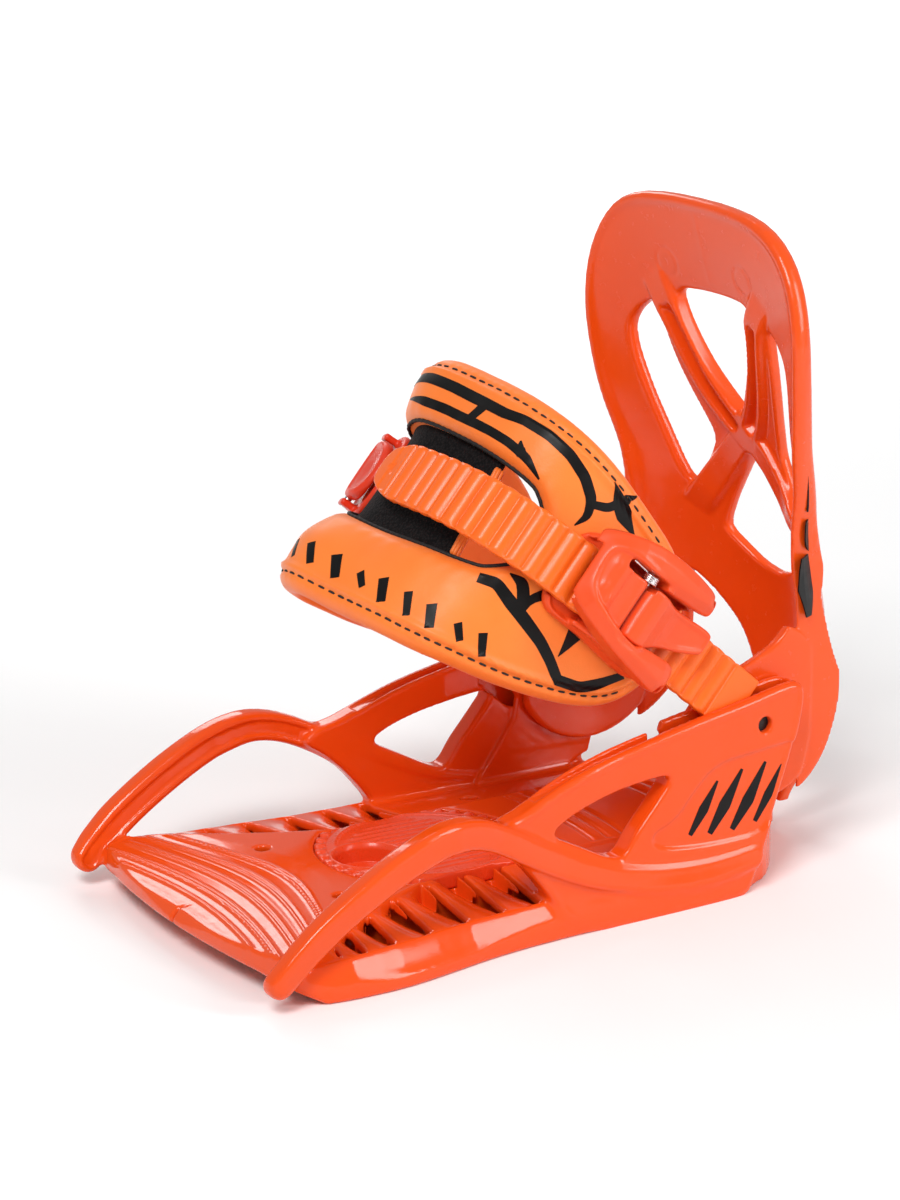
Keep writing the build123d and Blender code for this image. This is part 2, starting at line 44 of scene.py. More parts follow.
# Places shared by several pieces, in millimetres
BOLT_X, BOLT_Z = 91.2, 54.7
HIGHBACK_EAR_REACH = 31.0
LEVER_PIN_U, LEVER_PIN_N = 84.0, 56.6
LEVER_OPEN_STEPS = (12, 24, 36, 48, 60)
SCREW_PLACES = (-20.0, 20.0)
DISC_RADIUS, DISC_HALF_WIDTH, DISC_TEETH = 34.0, 26.8, 40
STRAP_HALF, STRAP_THICK, RIB_PITCH = 9.8, 3.0, 5.9
PRINT_RISE, PRINT_SINK = 0.12, 0.35

# ------------------------------------------------------------------ camera, light and floor
scene = bpy.context.scene
scene.view_settings.view_transform = "Standard"
scene.view_settings.look = "None"

camera_data = bpy.data.cameras.new("camera")
camera_data.lens = 105.0
camera_data.sensor_width = 36.0
camera = bpy.data.objects.new("camera", camera_data)
scene.collection.objects.link(camera)
camera.location = (-0.5402, -0.8771, 0.3929)
camera.rotation_euler = (math.radians(73.9), 0.0, math.radians(-32.1))
scene.camera = camera


def area_light(name, position, target, size, power, spread=180.0):
    data = bpy.data.lights.new(name, "AREA")
    data.shape = "RECTANGLE"
    data.size, data.size_y = size
    data.energy = power
    data.spread = math.radians(spread)
    lamp = bpy.data.objects.new(name, data)
    scene.collection.objects.link(lamp)
    lamp.location = position
    direction = Vector(target) - Vector(position)
    lamp.rotation_euler = direction.to_track_quat("-Z", "Y").to_euler()


area_light("key", (-0.9, -0.75, 1.35), (0.0, 0.0, 0.08), (0.6, 0.6), 19.0)
area_light("side", (0.9, -1.2, 0.7), (0.05, 0.0, 0.08), (0.4, 1.0), 11.0)
area_light("back", (0.32, 1.3, 0.86), (0.0, 0.0, 0.1), (0.5, 0.5), 3.5)
area_light("backdrop", (2.6, 3.8, 3.0), (2.6, 3.8, 0.0), (4.4, 4.4), 260.0, spread=75.0)

world = bpy.data.worlds.new("studio")
scene.world = world
world.use_nodes = True
sky = world.node_tree.nodes["Background"]
sky.inputs["Color"].default_value = (1.0, 1.0, 1.0, 1.0)
sky.inputs["Strength"].default_value = 0.4


# ------------------------------------------------------------------ materials
def new_material(name):
    material = bpy.data.materials.new(name)
    material.use_nodes = True
    tree = material.node_tree
    return material, tree, tree.nodes["Principled BSDF"]


def adjust(node, values):
    for name, value in values.items():
        node.inputs[name].default_value = value


def coordinates(tree, scale):
    where = tree.nodes.new("ShaderNodeTexCoord")
    mapping = tree.nodes.new("ShaderNodeMapping")
    mapping.inputs["Scale"].default_value = scale
    tree.links.new(where.outputs["Object"], mapping.inputs["Vector"])
    return mapping.outputs["Vector"]


def noise(tree, vector, scale, detail=3.0, roughness=0.55):
    node = tree.nodes.new("ShaderNodeTexNoise")
    adjust(node, {"Scale": scale, "Detail": detail, "Roughness": roughness})
    tree.links.new(vector, node.inputs["Vector"])
    return node.outputs["Fac"]


def ramp(tree, value, stops):
    node = tree.nodes.new("ShaderNodeValToRGB")
    elements = node.color_ramp.elements
    while len(elements) < len(stops):
        elements.new(0.5)
    for element, (place, colour) in zip(elements, stops):
        element.position = place
        element.color = (*colour, 1.0)
    tree.links.new(value, node.inputs["Fac"])
    return node.outputs["Color"]


def bump(tree, shader, height, strength, distance):
    node = tree.nodes.new("ShaderNodeBump")
    adjust(node, {"Strength": strength, "Distance": distance})
    tree.links.new(height, node.inputs["Height"])
    previous = shader.inputs["Normal"].links
    if previous:
        tree.links.new(previous[0].from_socket, node.inputs["Normal"])
    tree.links.new(node.outputs["Normal"], shader.inputs["Normal"])


def moulded_plastic(name, low, high, roughness=0.13, coat=0.1, waviness=0.03):
    """Pigmented injection-moulded plastic: slight flow mottling, faint waviness and fine scuffs."""
    material, tree, shader = new_material(name)
    vector = coordinates(tree, (1, 1, 1))
    colour = ramp(tree, noise(tree, vector, 14.0, 3.0), [(0.3, low), (0.7, high)])
    tree.links.new(colour, shader.inputs["Base Color"])
    gloss = ramp(tree, noise(tree, vector, 220.0, 5.0, 0.7),
                 [(0.35, (roughness - 0.05,) * 3), (0.75, (roughness + 0.1,) * 3)])
    tree.links.new(gloss, shader.inputs["Roughness"])
    bump(tree, shader, noise(tree, vector, 48.0, 2.0), waviness, 0.0006)
    bump(tree, shader, noise(tree, vector, 2600.0, 2.0), 0.05, 0.0001)
    adjust(shader, {"IOR": 1.46, "Specular IOR Level": 0.38, "Coat Weight": coat, "Coat Roughness": 0.12})
    return material


mat_base = moulded_plastic("base_plastic", (0.80, 0.072, 0.005), (0.83, 0.079, 0.006))


# ------------------------------------------------------------------ distance fields, in millimetres
def chaikin(points, rounds=2, closed=True):
    """Rounds the corners of an outline."""
    points = [tuple(map(float, p)) for p in points]
    for _ in range(rounds):
        pairs = list(zip(points, points[1:] + points[:1])) if closed else list(zip(points, points[1:]))
        fresh = []
        for (ax, ay), (bx, by) in pairs:
            fresh += [(0.75 * ax + 0.25 * bx, 0.75 * ay + 0.25 * by),
                      (0.25 * ax + 0.75 * bx, 0.25 * ay + 0.75 * by)]
        if not closed:
            fresh = [points[0]] + fresh + [points[-1]]
        points = fresh
    return points


def outline_distance(a, b, points):
    """Signed distance to a closed outline, negative inside."""
    nearest = None
    inside = np.zeros(np.broadcast(a, b).shape, bool)
    for (x0, y0), (x1, y1) in zip(points, points[1:] + points[:1]):
        ex, ey = x1 - x0, y1 - y0
        wx, wy = a - x0, b - y0
        t = np.clip((wx * ex + wy * ey) / (ex * ex + ey * ey + 1e-9), 0, 1)
        d = (wx - ex * t) ** 2 + (wy - ey * t) ** 2
        nearest = d if nearest is None else np.minimum(nearest, d)
        if abs(ey) > 1e-9:
            inside ^= ((y0 > b) != (y1 > b)) & (a < x0 + (b - y0) * ex / ey)
    return np.where(inside, -1.0, 1.0) * np.sqrt(nearest)


def line_distance(a, b, points):
    """Distance to an open polyline, and how far along it the nearest point is, from 0 to 1."""
    nearest = None
    along = None
    for index, ((x0, y0), (x1, y1)) in enumerate(zip(points, points[1:])):
        ex, ey = x1 - x0, y1 - y0
        wx, wy = a - x0, b - y0
        t = np.clip((wx * ex + wy * ey) / (ex * ex + ey * ey + 1e-9), 0, 1)
        d = (wx - ex * t) ** 2 + (wy - ey * t) ** 2
        place = (index + t) / (len(points) - 1)
        if nearest is None:
            nearest, along = d, place
        else:
            along = np.where(d < nearest, place, along)
            nearest = np.minimum(nearest, d)
    return np.sqrt(nearest), along


def smin(a, b, k):
    """The union of two fields with a fillet of about k."""
    h = np.clip(0.5 + 0.5 * (b - a) / k, 0, 1)
    return b * (1 - h) + a * h - k * h * (1 - h)


def smax(a, b, k):
    """The common part of two fields, its edge rounded by about k."""
    return -smin(-a, -b, k)


def smoothstep(low, high, value):
    t = np.clip((value - low) / (high - low), 0, 1)
    return t * t * (3 - 2 * t)


def bead(value, width):
    """A rounded ridge of height 1 where the value is 0."""
    return np.exp(-((value / width) ** 2))


def level(value, stops):
    """Straight lines through (value, result) stops."""
    return np.interp(value, [s[0] for s in stops], [s[1] for s in stops])


def grid_axes(low, high, step):
    x, y, z = (np.arange(a, b + step, step) for a, b in zip(low, high))
    return x[:, None, None], y[None, :, None], z[None, None, :]


def linked_mesh(name, points, faces, smooth):
    """A mesh object in the scene from points in millimetres."""
    mesh = bpy.data.meshes.new(name)
    mesh.from_pydata((np.array(points) * MM).tolist(), [], faces)
    if smooth:
        mesh.shade_smooth()
    thing = bpy.data.objects.new(name, mesh)
    scene.collection.objects.link(thing)
    return thing


def surface(name, field, low, step, place=None):
    """A smooth mesh of the field's zero level; place maps its points to the part's frame."""
    volume = openvdb.FloatGrid(background=3.0 * step)
    volume.copyFromArray(np.ascontiguousarray(np.clip(field, -3.0 * step, 3.0 * step), dtype=np.float32),
                         tolerance=1e-4)
    points, triangles, quads = volume.convertToPolygons(isovalue=0.0, adaptivity=0.0)
    points = np.asarray(points, float) * step + np.array(low, float)
    if place is not None:
        points = place(points)
    triangles, quads = np.asarray(triangles, int).reshape(-1, 3), np.asarray(quads, int).reshape(-1, 4)
    fan = np.concatenate([triangles, quads[:, :3], quads[:, [0, 2, 3]]])
    a, b, c = points[fan[:, 0]], points[fan[:, 1]], points[fan[:, 2]]
    if np.einsum("ij,ij->i", a, np.cross(b, c)).sum() < 0:
        triangles, quads = triangles[:, ::-1], quads[:, ::-1]
    return linked_mesh(name, points, triangles.tolist() + quads.tolist(), True)


def make_piece(name, field, low, high, step, place=None):
    size = step
    return surface(name, field(*grid_axes(low, high, size)), low, size, place)


def make_mirrored(name, field, low, high, step):
    """Like make_piece, for a field of one side that is mirrored in Y; low[1] is 0."""
    size = step
    half = field(*grid_axes(low, (high[0], int(high[1] / size) * size, high[2]), size))
    whole = np.concatenate([half[:, :0:-1, :], half], axis=1)
    return surface(name, whole, (low[0], -size * (half.shape[1] - 1), low[2]), size)


def finish_piece(thing, body, material, slot, *replaced):
    thing.data.materials.append(material)
    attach(thing, body)
    if replaced:
        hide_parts(*replaced)


# ------------------------------------------------------------------ base frame
def base_field(x, y, z):
    """The floor, skirts and one side of the base; y is not negative."""
    xy, yy = np.broadcast_arrays(x, y)
    centre_reach = np.hypot(xy, yy)
    bend = np.clip(187.0 - 3.45 * (xy + 89.0), 60.0, 190.0)
    ring = xy + yy * yy / (2 * bend)
    ring = np.where(xy < -15, ring, xy)
    plate = level(ring, [(-92, 8.2), (-88.5, 10.6), (-84, 12.9), (-62, 15.0), (-40, 16.0), (108, 16.0),
                         (127, 12.0)])
    ridges = 1.3 * bead(ring + 86.2, 1.5)
    for place in (-79.6, -74.9, -72.9, -66.6, -64.6, -58.8, -56.8, -50.4, -48.4):
        ridges += bead(ring - place, 0.62)
    grooves = np.zeros_like(plate)
    for place in (50, 56, 62, 88, 94, 100):
        grooves += bead(xy - place + yy * yy / 260.0, 0.8) * (yy < 33)
    edge = level(xy, [(-74, 57), (-68, 56), (-63, 53.4), (-55, 47), (-44.4, 40.7), (-30.6, 33.6),
                      (-16.9, 28), (-4, 26), (60, 27), (110, 30)])
    plate = plate + (0.75 * ridges - 0.7 * grooves) * smoothstep(0.5, 3.0, edge - yy)
    crest = level(xy, [(-75, 59), (-62, 60), (-45, 58.4), (-31, 56.6), (-18, 54.5), (0, 53.5), (80, 52)])
    drop = np.clip((yy - edge) / np.maximum(crest - edge, 1.0), 0, 1)
    slots = [(-63.8, 0.8), (-55.6, 1.0), (-45.0, 1.4), (-31.5, 1.6), (-17.5, 1.6), (-4.2, 1.6), (9.2, 1.6)]
    saw = np.zeros_like(xy)
    for (left, wide), (right, wide_b) in zip(slots, slots[1:]):
        start, stop = left + wide / 2, right - wide_b / 2
        saw = np.where((xy > start) & (xy < stop), (xy - start) / (stop - start), saw)
    fall = 6.4 * saw ** 2.2 * np.clip(1.15 - (yy - edge) / np.maximum(crest - edge, 1.0), 0, 1)
    top = plate - smoothstep(-0.2, 0.8, yy - edge) * (0.7 + fall * (yy < crest)) - 3.0 * drop
    beyond = yy - crest
    top = top - 7.2 * smoothstep(0.0, 6.0, beyond) - 0.22 * np.clip(beyond - 5.0, 0, 8)
    slope = np.sqrt(1.0 + np.clip(np.gradient(top[:, :, 0], abs(x[1, 0, 0] - x[0, 0, 0]), axis=0) ** 2
                                  + np.gradient(top[:, :, 0], abs(y[0, 1, 0] - y[0, 0, 0]), axis=1) ** 2,
                                  0, 3))[:, :, None]
    plan = chaikin([(-88.9, -6), (-88.6, 12), (-86.6, 34), (-83.6, 50), (-82, 57), (-78.5, 61), (-70, 63.6),
                    (-61.4, 64.6), (-48, 65), (-38, 64), (-21, 60.8), (-9, 58.6), (14, 56.6), (84, 56.3),
                    (90, 51), (101, 46), (118, 24), (125, 14), (127, 6), (127, -6)], 2)
    plan_distance = outline_distance(xy, yy, plan)
    underside = level(xy, [(-92, 8.6), (-84, 6.9), (-71, 0.0), (130, 0.0)])
    floor = smax((z - top) / slope, smax(plan_distance, underside - z, 1.5), 1.4)

    cell_x = np.abs((xy + 71 + 10.5) % 21.0 - 10.5) - 9.0
    cell_y = np.abs((yy + 10.5) % 21.0 - 10.5) - 9.0
    pocket = np.maximum(np.maximum(cell_x, cell_y), np.maximum(plan_distance + 5.0, z - (top - 3.2)))
    pocket = np.maximum(pocket, -np.maximum(centre_reach - 37.0, -1.0))
    floor = smax(floor, -pocket, 0.8)
    for place, wide in slots:
        slit = np.maximum(np.abs(xy + (yy - 45) * 0.06 - place) - wide / 2,
                          np.maximum(edge + 1.2 - yy, yy - crest + 1.2))
        floor = smax(floor, -slit, 0.8)

    xz, zz = np.broadcast_arrays(x, z)
    band_line = chaikin([(-86.5, 9.5), (-81.5, 14.6), (-73.5, 21.6), (-60, 30.4), (-46, 38.0), (-35, 42.0),
                         (-27, 43.2), (-18, 41.8), (-8, 37.2), (0, 32.4), (9.6, 27.0), (20, 21.6),
                         (29.8, 17.4), (40, 14.4), (50, 12.4), (62, 11.2), (74, 11.0), (88, 12.5)],
                        2, closed=False)
    away, along = line_distance(xz, zz, band_line)
    radius = level(along, [(0.0, 4.4), (0.12, 5.0), (0.3, 5.2), (0.45, 4.5), (0.6, 4.6), (0.8, 4.4),
                           (1.0, 4.0)])
    centre_z = level(x, band_line)
    lean = level(x, [(-60, -0.18), (-20, 0.0), (20, 0.22)]) * np.clip(z - centre_z, -9, 9)
    outer = level(x, [(-92, 65.4), (-80, 66.2), (-60, 66.6), (-40, 66.6), (-27, 65.6), (-10, 61.6),
                      (14, 57.8), (37, 56.6), (87, 56.2), (110, 55)]) - lean
    inner = level(x, [(-92, 58.6), (-60, 59.2), (-40, 59.0), (-27, 57.6), (-10, 53.6), (14, 49.4),
                      (37, 47.2), (110, 47.0)]) - lean
    middle, half = (outer + inner) / 2, (outer - inner) / 2
    end_trim = outline_distance(xz, zz, [(-92, -5), (-92, 70), (85.5, 70), (91.2, 11.5), (86.5, -5)])
    band = smax(smax(away - radius, np.abs(y - middle) - half, 2.6), end_trim, 1.2)
    band = np.where(y < middle, smax(band, -np.maximum(away - 2.2, y - inner - 0.9), 0.8), band)

    wall_outline = chaikin([(-14, 37), (-7.4, 41.2), (-1, 42.6), (4.1, 44.6), (16.6, 49.6), (29.2, 53.2),
                            (47.6, 57.0), (66.2, 60.6), (85.1, 63.6), (97, 66.2), (103.5, 66.8),
                            (106.4, 64.5), (106.0, 57), (103.2, 46), (98, 31), (93, 16), (87, 1.5),
                            (80, 0.0), (20, 0), (8, 18), (-4, 31)], 2)
    rear_opening = chaikin([(10.4, 33.9), (17.4, 38.2), (30.1, 42.0), (43.9, 44.2), (57.6, 45.0),
                            (49.2, 35), (43, 28.2), (39, 21.8), (35, 20.9), (21.2, 28.3)], 2)
    side = outline_distance(xz, zz, wall_outline)
    wall_outer = level(x, [(-20, 59.0), (-10, 58.4), (14, 56.2), (37, 55), (110, 55)])
    wall_inner = level(x, [(-20, 52.2), (-10, 51.2), (14, 48.8), (37, 47.0), (110, 47.4)])
    swoosh = outline_distance(xz, zz, chaikin([(57.5, 30), (64.4, 38.6), (72.8, 45.7), (87.2, 46.8),
                                               (108, 48.8), (101, 36), (95, 19), (70, 18.5), (50, 21),
                                               (48, 27)], 2))
    wall_face = wall_outer - 0.9 * smoothstep(0.4, -1.2, swoosh)
    lip_line = bead(side + 1.6, 1.0) * 0.35
    wall = smax(side, smax(y - wall_face - lip_line, wall_inner - y, 1.0), 1.6)
    wall = smax(wall, -outline_distance(xz, zz, rear_opening), 1.6)
    skin_outline = chaikin([(47, 12), (55, 22), (66, 38), (60, 50), (55, 59), (64, 60.6), (85.1, 64.0),
                            (97, 66.4), (103, 66.6), (105.4, 64), (105.0, 57), (102, 46), (97, 31),
                            (92, 13)], 1)
    inner_skin = smax(outline_distance(xz, zz, skin_outline), np.abs(y - 46.2) - 1.25, 0.8)
    trough = np.maximum(outline_distance(xz, zz, [(6, 45), (30, 51), (52, 55), (52, 80), (0, 80)]),
                        np.abs(y - level(x, [(6, 52.4), (40, 50.6), (60, 50.2)])) - 1.7)
    channel = np.maximum(outline_distance(xz, zz,
                                          [(51, 47), (62, 38), (80, 33), (96, 34), (102.6, 47), (102.6, 80),
                                           (51, 80)]), np.abs(y - 49.5) - 2.12)
    arm = smin(smin(wall, inner_skin, 0.8), band, 1.4)
    arm = smax(arm, -trough, 0.9)
    arm = smax(arm, -channel, 0.7)

    body = smin(floor, arm, 3.0)
    stop = smax(outline_distance(xz, zz, [(108, 2), (129.4, 2), (129.4, 12.4), (126.5, 14.8), (108, 14.8)]),
                y - 11, 1.5)
    body = smin(body, stop, 2.0)
    hole = np.maximum(np.hypot(x - BOLT_X, z - BOLT_Z) - 2.55, 40 - y)
    body = smax(body, -hole, 0.4)
    seat = np.maximum(np.maximum(centre_reach - DISC_RADIUS - 0.2, yy - DISC_HALF_WIDTH - 0.2), 11 - z)
    bore = np.maximum(centre_reach - 26.2, yy - 19.0)
    body = smax(smax(body, -seat, 0.5), -bore, 0.5)
    for place, out, r in ((38, 33, 2.6), (-44, 24, 2.3)):
        drain = np.hypot(x - place, y - out) - r
        body = smax(body, -np.maximum(drain, 12 - z), 0.4)
    return body


base_shell = make_mirrored("base_shell", base_field, (-94.0, 0.0, -2.4), (133.0, 72.0, 71.0), 0.6)
finish_piece(base_shell, "base", mat_base, "base_plastic", "base_frame")


# ------------------------------------------------------------------ highback
EDGE_X = [(11, 103.0), (68, 103.0), (83, 103.4), (98, 104.6), (110, 105.4), (118, 105.2), (124, 104.4),
          (130, 102.9), (138, 101.0), (146, 99.6), (154, 98.5), (162, 97.5), (170, 97.0), (178, 96.7),
          (186, 96.5), (194, 96.4), (212, 95.5)]
CENTRE_X = [(11, 130.3), (20, 137), (27, 140.5), (35, 142.3), (50, 142), (65, 139.5), (80, 137),
            (95, 133.5), (115, 128.5), (130, 124.4), (150, 117.3), (165, 112.4), (178, 108.2), (195, 102.6),
            (212, 98.0)]
HALF_WIDTH = [(11, 44.6), (103, 45), (114, 46), (122, 48.2), (130, 50.4), (138, 52.5), (146, 54.3),
              (154, 55.8), (162, 57.0), (170, 57.6), (178, 57.8), (212, 57.8)]
ROUNDNESS = [(11, 1.0), (60, 1.0), (90, 1.2), (115, 1.7), (140, 2.0), (212, 2.0)]
HIGHBACK_SKIN = 4.0
hb_height = np.arange(5.0, 216.0, 1.0)
hb_kernel = np.ones(9) / 9.0


def smooth_level(stops):
    values = np.interp(hb_height, [s[0] for s in stops], [s[1] for s in stops])
    return np.convolve(np.pad(values, 4, mode="edge"), hb_kernel, mode="valid")


hb_edge, hb_centre, hb_half, hb_round = (smooth_level(s) for s in (EDGE_X, CENTRE_X, HALF_WIDTH, ROUNDNESS))


def highback_inner_x(y, z):
    """The front surface of the shell as a height along X."""
    edge = np.interp(z, hb_height, hb_edge)
    centre = np.interp(z, hb_height, hb_centre)
    half = np.interp(z, hb_height, hb_half)
    power = np.interp(z, hb_height, hb_round)
    s = np.clip(np.abs(y) / half, 0, 0.9995)
    return edge + (centre - edge) * np.sqrt(1 - s * s) ** power


def highback_outline():
    side = [(44.6, 8), (44.6, 60), (44.6, 95), (45.2, 106), (46.6, 116), (49.6, 127), (52.5, 137),
            (55.0, 148), (56.8, 160), (57.4, 171), (56.4, 181), (53.6, 190), (48.4, 198.3), (40.6, 205),
            (30, 209.0), (15, 210.6), (-2, 210.8)]
    return [(-5, 8)] + side + [(-5, 210.8)]


def highback_field(x, y, z):
    yz, zz = np.broadcast_arrays(y, z)
    front = highback_inner_x(yz, zz)
    h = abs(y[0, 1, 0] - y[0, 0, 0])
    gy = np.gradient(front[0], h, axis=0)
    gz = np.gradient(front[0], h, axis=1)
    norm = np.sqrt(1 + np.clip(gy * gy + gz * gz, 0, 30))[None]

    outline = chaikin(highback_outline(), 1)
    rim = outline_distance(yz, zz, outline)
    strut_up = chaikin([(30, 184), (22.5, 172), (18.4, 160), (12.6, 146), (4, 134.5), (-3, 128)], 2,
                       closed=False)
    strut_down = chaikin([(-2, 136), (3, 130), (12, 121.5), (22, 110), (29, 101)], 2, closed=False)
    up, along_up = line_distance(yz, zz, strut_up)
    down, along_down = line_distance(yz, zz, strut_down)
    proud = np.maximum(2.6 * smoothstep(6.2, 4.0, up) * smoothstep(0.05, 0.25, along_up),
                       2.4 * smoothstep(5.6, 3.8, down) * smoothstep(0.95, 0.7, along_down))
    pocket = (3.6 * smoothstep(2.7, 1.6, up) * smoothstep(0.22, 0.27, along_up)
              * smoothstep(0.80, 0.75, along_up))
    lip = 0.7 * bead(rim + 2.2, 1.6) * smoothstep(88, 100, zz)
    mark = 0.3 * bead(np.hypot(yz - 20, zz - 187) - 4.6, 0.45)
    thickness = HIGHBACK_SKIN + 1.8 * bead(rim + 2.5, 3.2) * smoothstep(88, 100, zz)
    front_face = front - (proud - pocket + lip - mark) * np.minimum(norm, 1.6)
    shell = smax((front_face - x) / norm, (x - front) / norm - thickness, 1.0)
    body = smax(shell, rim, 2.2)

    side_gap = chaikin([(13, 2), (13.4, 20), (15, 40), (17, 52), (19.6, 61), (24, 68), (28, 73.4),
                        (31.4, 77.6), (33.6, 79.6), (35.4, 75), (36.2, 62), (36.6, 40), (36.6, 2)], 2)
    outer_window = chaikin([(41.6, 163.5), (37, 169.5), (30.6, 173.5), (28.8, 168), (27.0, 157),
                            (23.8, 146.5), (19.2, 134.5), (17.4, 128.4), (19.2, 124), (23.2, 117),
                            (26.4, 111.6), (29.6, 111.8), (32.4, 118.5), (35.5, 129), (39.5, 146),
                            (41.6, 156)], 2)
    centre_window = chaikin([(-22, 179.6), (9, 179.6), (18.9, 178.3), (18.0, 170), (15.8, 163), (12.4, 155),
                             (7, 147), (0, 138.8), (-6, 144)], 2)
    low_window = chaikin([(-6, 125.8), (0, 126.4), (4.5, 121.5), (10, 114.4), (15, 107), (19.2, 98.8),
                          (19.6, 95.5), (14, 90.4), (8, 86), (0, 84.2), (-6, 84.8)], 1)
    for window in (side_gap, outer_window, centre_window, low_window):
        body = smax(body, -outline_distance(yz, zz, window), 1.6)

    ear = outline_distance(x, z, chaikin([(66, 20), (66, 60), (84, 68.5), (97, 73.4), (104, 77.5),
                                          (109, 84), (116, 86), (116, 20)], 2))
    reach = np.hypot(x - BOLT_X, z - BOLT_Z)
    ear = smax(smax(ear, np.abs(y - 42.9) - 1.7, 0.8), reach - HIGHBACK_EAR_REACH, 1.0)
    body = smin(body, ear, 1.6)
    wing = outline_distance(x, z, chaikin([(60, 55), (66, 36), (78, 25.5), (92, 22.5), (104, 22.0),
                                           (112, 25.0), (119, 31), (124.5, 39), (128.5, 50), (131, 62),
                                           (134, 90), (134, 220), (60, 220)], 2))
    body = smax(body, smin(wing + 0 * y, y - 27.5 + 0 * x + 0 * z, 0.1), 1.5)
    hole = np.maximum(reach - 2.6, 38 - y)
    return smax(body, -hole, 0.4)


mat_highback = moulded_plastic("highback_plastic", (0.80, 0.074, 0.005), (0.84, 0.082, 0.006), 0.22, 0.15)
highback_shell = make_mirrored("highback_shell", highback_field, (58.0, 0.0, 10.0), (150.0, 61.0, 213.5),
                               0.7)
finish_piece(highback_shell, "highback", mat_highback, "highback_plastic", "highback")


# ------------------------------------------------------------------ strap coordinates
PIVOT = np.array([BOLT_X, 0.0, BOLT_Z])
LEAN = math.radians(40.7)
ARCH_HEIGHT, ARCH_HALF = 121.5, 50.0


def in_strap(u, v, n):
    """Points in the part's frame from the strap plane's u, v and outward n."""
    c, s = math.cos(LEAN), math.sin(LEAN)
    return np.stack([PIVOT[0] - u * c + v * s, -n + 0 * u, PIVOT[2] + u * s + v * c], axis=-1)


arch_angle = np.linspace(0.0004, math.pi - 0.0004, 6000)
arch_u = ARCH_HEIGHT * np.sin(arch_angle) ** 0.4
far_widening = np.where(np.cos(arch_angle) < 0, 3.0 * np.clip((arch_u - 25) / 50, 0, 1), 0.0)
arch_n = (ARCH_HALF + far_widening) * np.sign(np.cos(arch_angle)) * np.abs(np.cos(arch_angle)) ** 0.67
arch_lift = np.interp(arch_angle, [0.0, 1.2, 1.5, 1.85, 2.2, 2.42, 2.6, 2.85, math.pi],
                      [0.0, 0.0, 2.5, 6.5, 8.0, 3.6, 1.4, 0.0, 0.0])
tail_u = np.linspace(0.0, arch_u[0], 60)[:-1]
arch_u = np.concatenate([tail_u, arch_u, tail_u[::-1]])
arch_n = np.concatenate([np.full(tail_u.size, 49.5), arch_n, np.full(tail_u.size, -49.5)])
arch_lift = np.concatenate([0 * tail_u, arch_lift, 0 * tail_u])
arch_s = np.concatenate([[0.0], np.cumsum(np.hypot(np.diff(arch_u), np.diff(arch_n)))])
ARCH_LENGTH = float(arch_s[-1])
arch_even = np.arange(0.0, ARCH_LENGTH, 0.5)
soft = np.ones(13) / 13.0


def even(values):
    samples = np.interp(arch_even, arch_s, values)
    return np.convolve(np.pad(samples, 6, mode="edge"), soft, mode="valid")


even_u, even_n, even_lift = even(arch_u), even(arch_n), even(arch_lift)
slope_u, slope_n = np.gradient(even_u), np.gradient(even_n)
slope_length = np.hypot(slope_u, slope_n)
normal_u, normal_n = -slope_n / slope_length, slope_u / slope_length


def on_arch(s, v, o):
    """Points in the part's frame from the length s along the arch, v across it and o outward from it."""
    u = np.interp(s, arch_even, even_u) + o * np.interp(s, arch_even, normal_u)
    n = np.interp(s, arch_even, even_n) + o * np.interp(s, arch_even, normal_n)
    return in_strap(u, v, n)


def place_on_arch(points):
    return on_arch(points[:, 0], points[:, 1], points[:, 2])


def on_pad(s, v, o):
    """Like on_arch, following the pad where it stands further out over the crest."""
    lobe = (np.where(v < 0, 5.5, 2.5) * smoothstep(13.5, 32.0, np.abs(v))
            * bead(s - ARCH_LENGTH / 2 - 30.0, 22.0))
    return on_arch(s, v, o + lobe + np.interp(s, arch_even, even_lift))


def place_on_pad(points):
    return on_pad(points[:, 0], points[:, 1], points[:, 2])


def near_s(u):
    """Arch length at height u on the near side."""
    half = even_u.size // 2
    return float(np.interp(u, even_u[:half], arch_even[:half]))


# ------------------------------------------------------------------ ladder strap and far strap
def strap_field(s, v, o, start, stop, ribs):
    """A flat strap, or with ribs, which is where they start and stop, the ladder with its narrowed tip."""
    if not ribs:
        plan = np.maximum(np.abs(v) - STRAP_HALF, np.maximum(s - stop, start - s))
        return smax(plan, smax(o - STRAP_THICK / 2, -STRAP_THICK / 2 - o, 0.5), 0.7)
    back = np.clip((s - (stop - 17.0)) / 17.0, 0, 1)
    half = STRAP_HALF - 5.2 * back ** 1.8
    corner = np.hypot(np.maximum(np.abs(v) - half + 3.5, 0), np.maximum(s - stop + 3.5, 0)) - 3.5
    plan = np.maximum(np.maximum(corner, np.abs(v) - half), start - s)
    wave = np.abs(np.sin(math.pi * (s - ribs[0]) / RIB_PITCH)) ** 0.8
    ribbed = smoothstep(ribs[0] - 0.5, ribs[0] + 0.5, s) * smoothstep(ribs[1] + 0.5, ribs[1] - 0.5, s)
    active = ribbed * smoothstep(9.5, 8.6, np.abs(v))
    top = 0.7 + 1.5 * wave * active + 1.05 * (1 - active)
    plan = plan + 0.35 * (1 - wave) * ribbed
    land = smoothstep(ribs[1] + 6.4, ribs[1] + 5.8, s) * smoothstep(ribs[1] + 1.6, ribs[1] + 2.2, s)
    top = top - 0.35 * land * smoothstep(8.4, 7.6, np.abs(v))
    arrow = outline_distance(*np.broadcast_arrays(s, v),
                             [(stop - 6.2, 0), (stop - 9.4, 2.0), (stop - 9.4, -2.0)])
    top = top - 0.5 * smoothstep(0.35, -0.15, arrow)
    return smax(plan, smax(o - top, -STRAP_THICK / 2 - o, 0.5), 0.7)


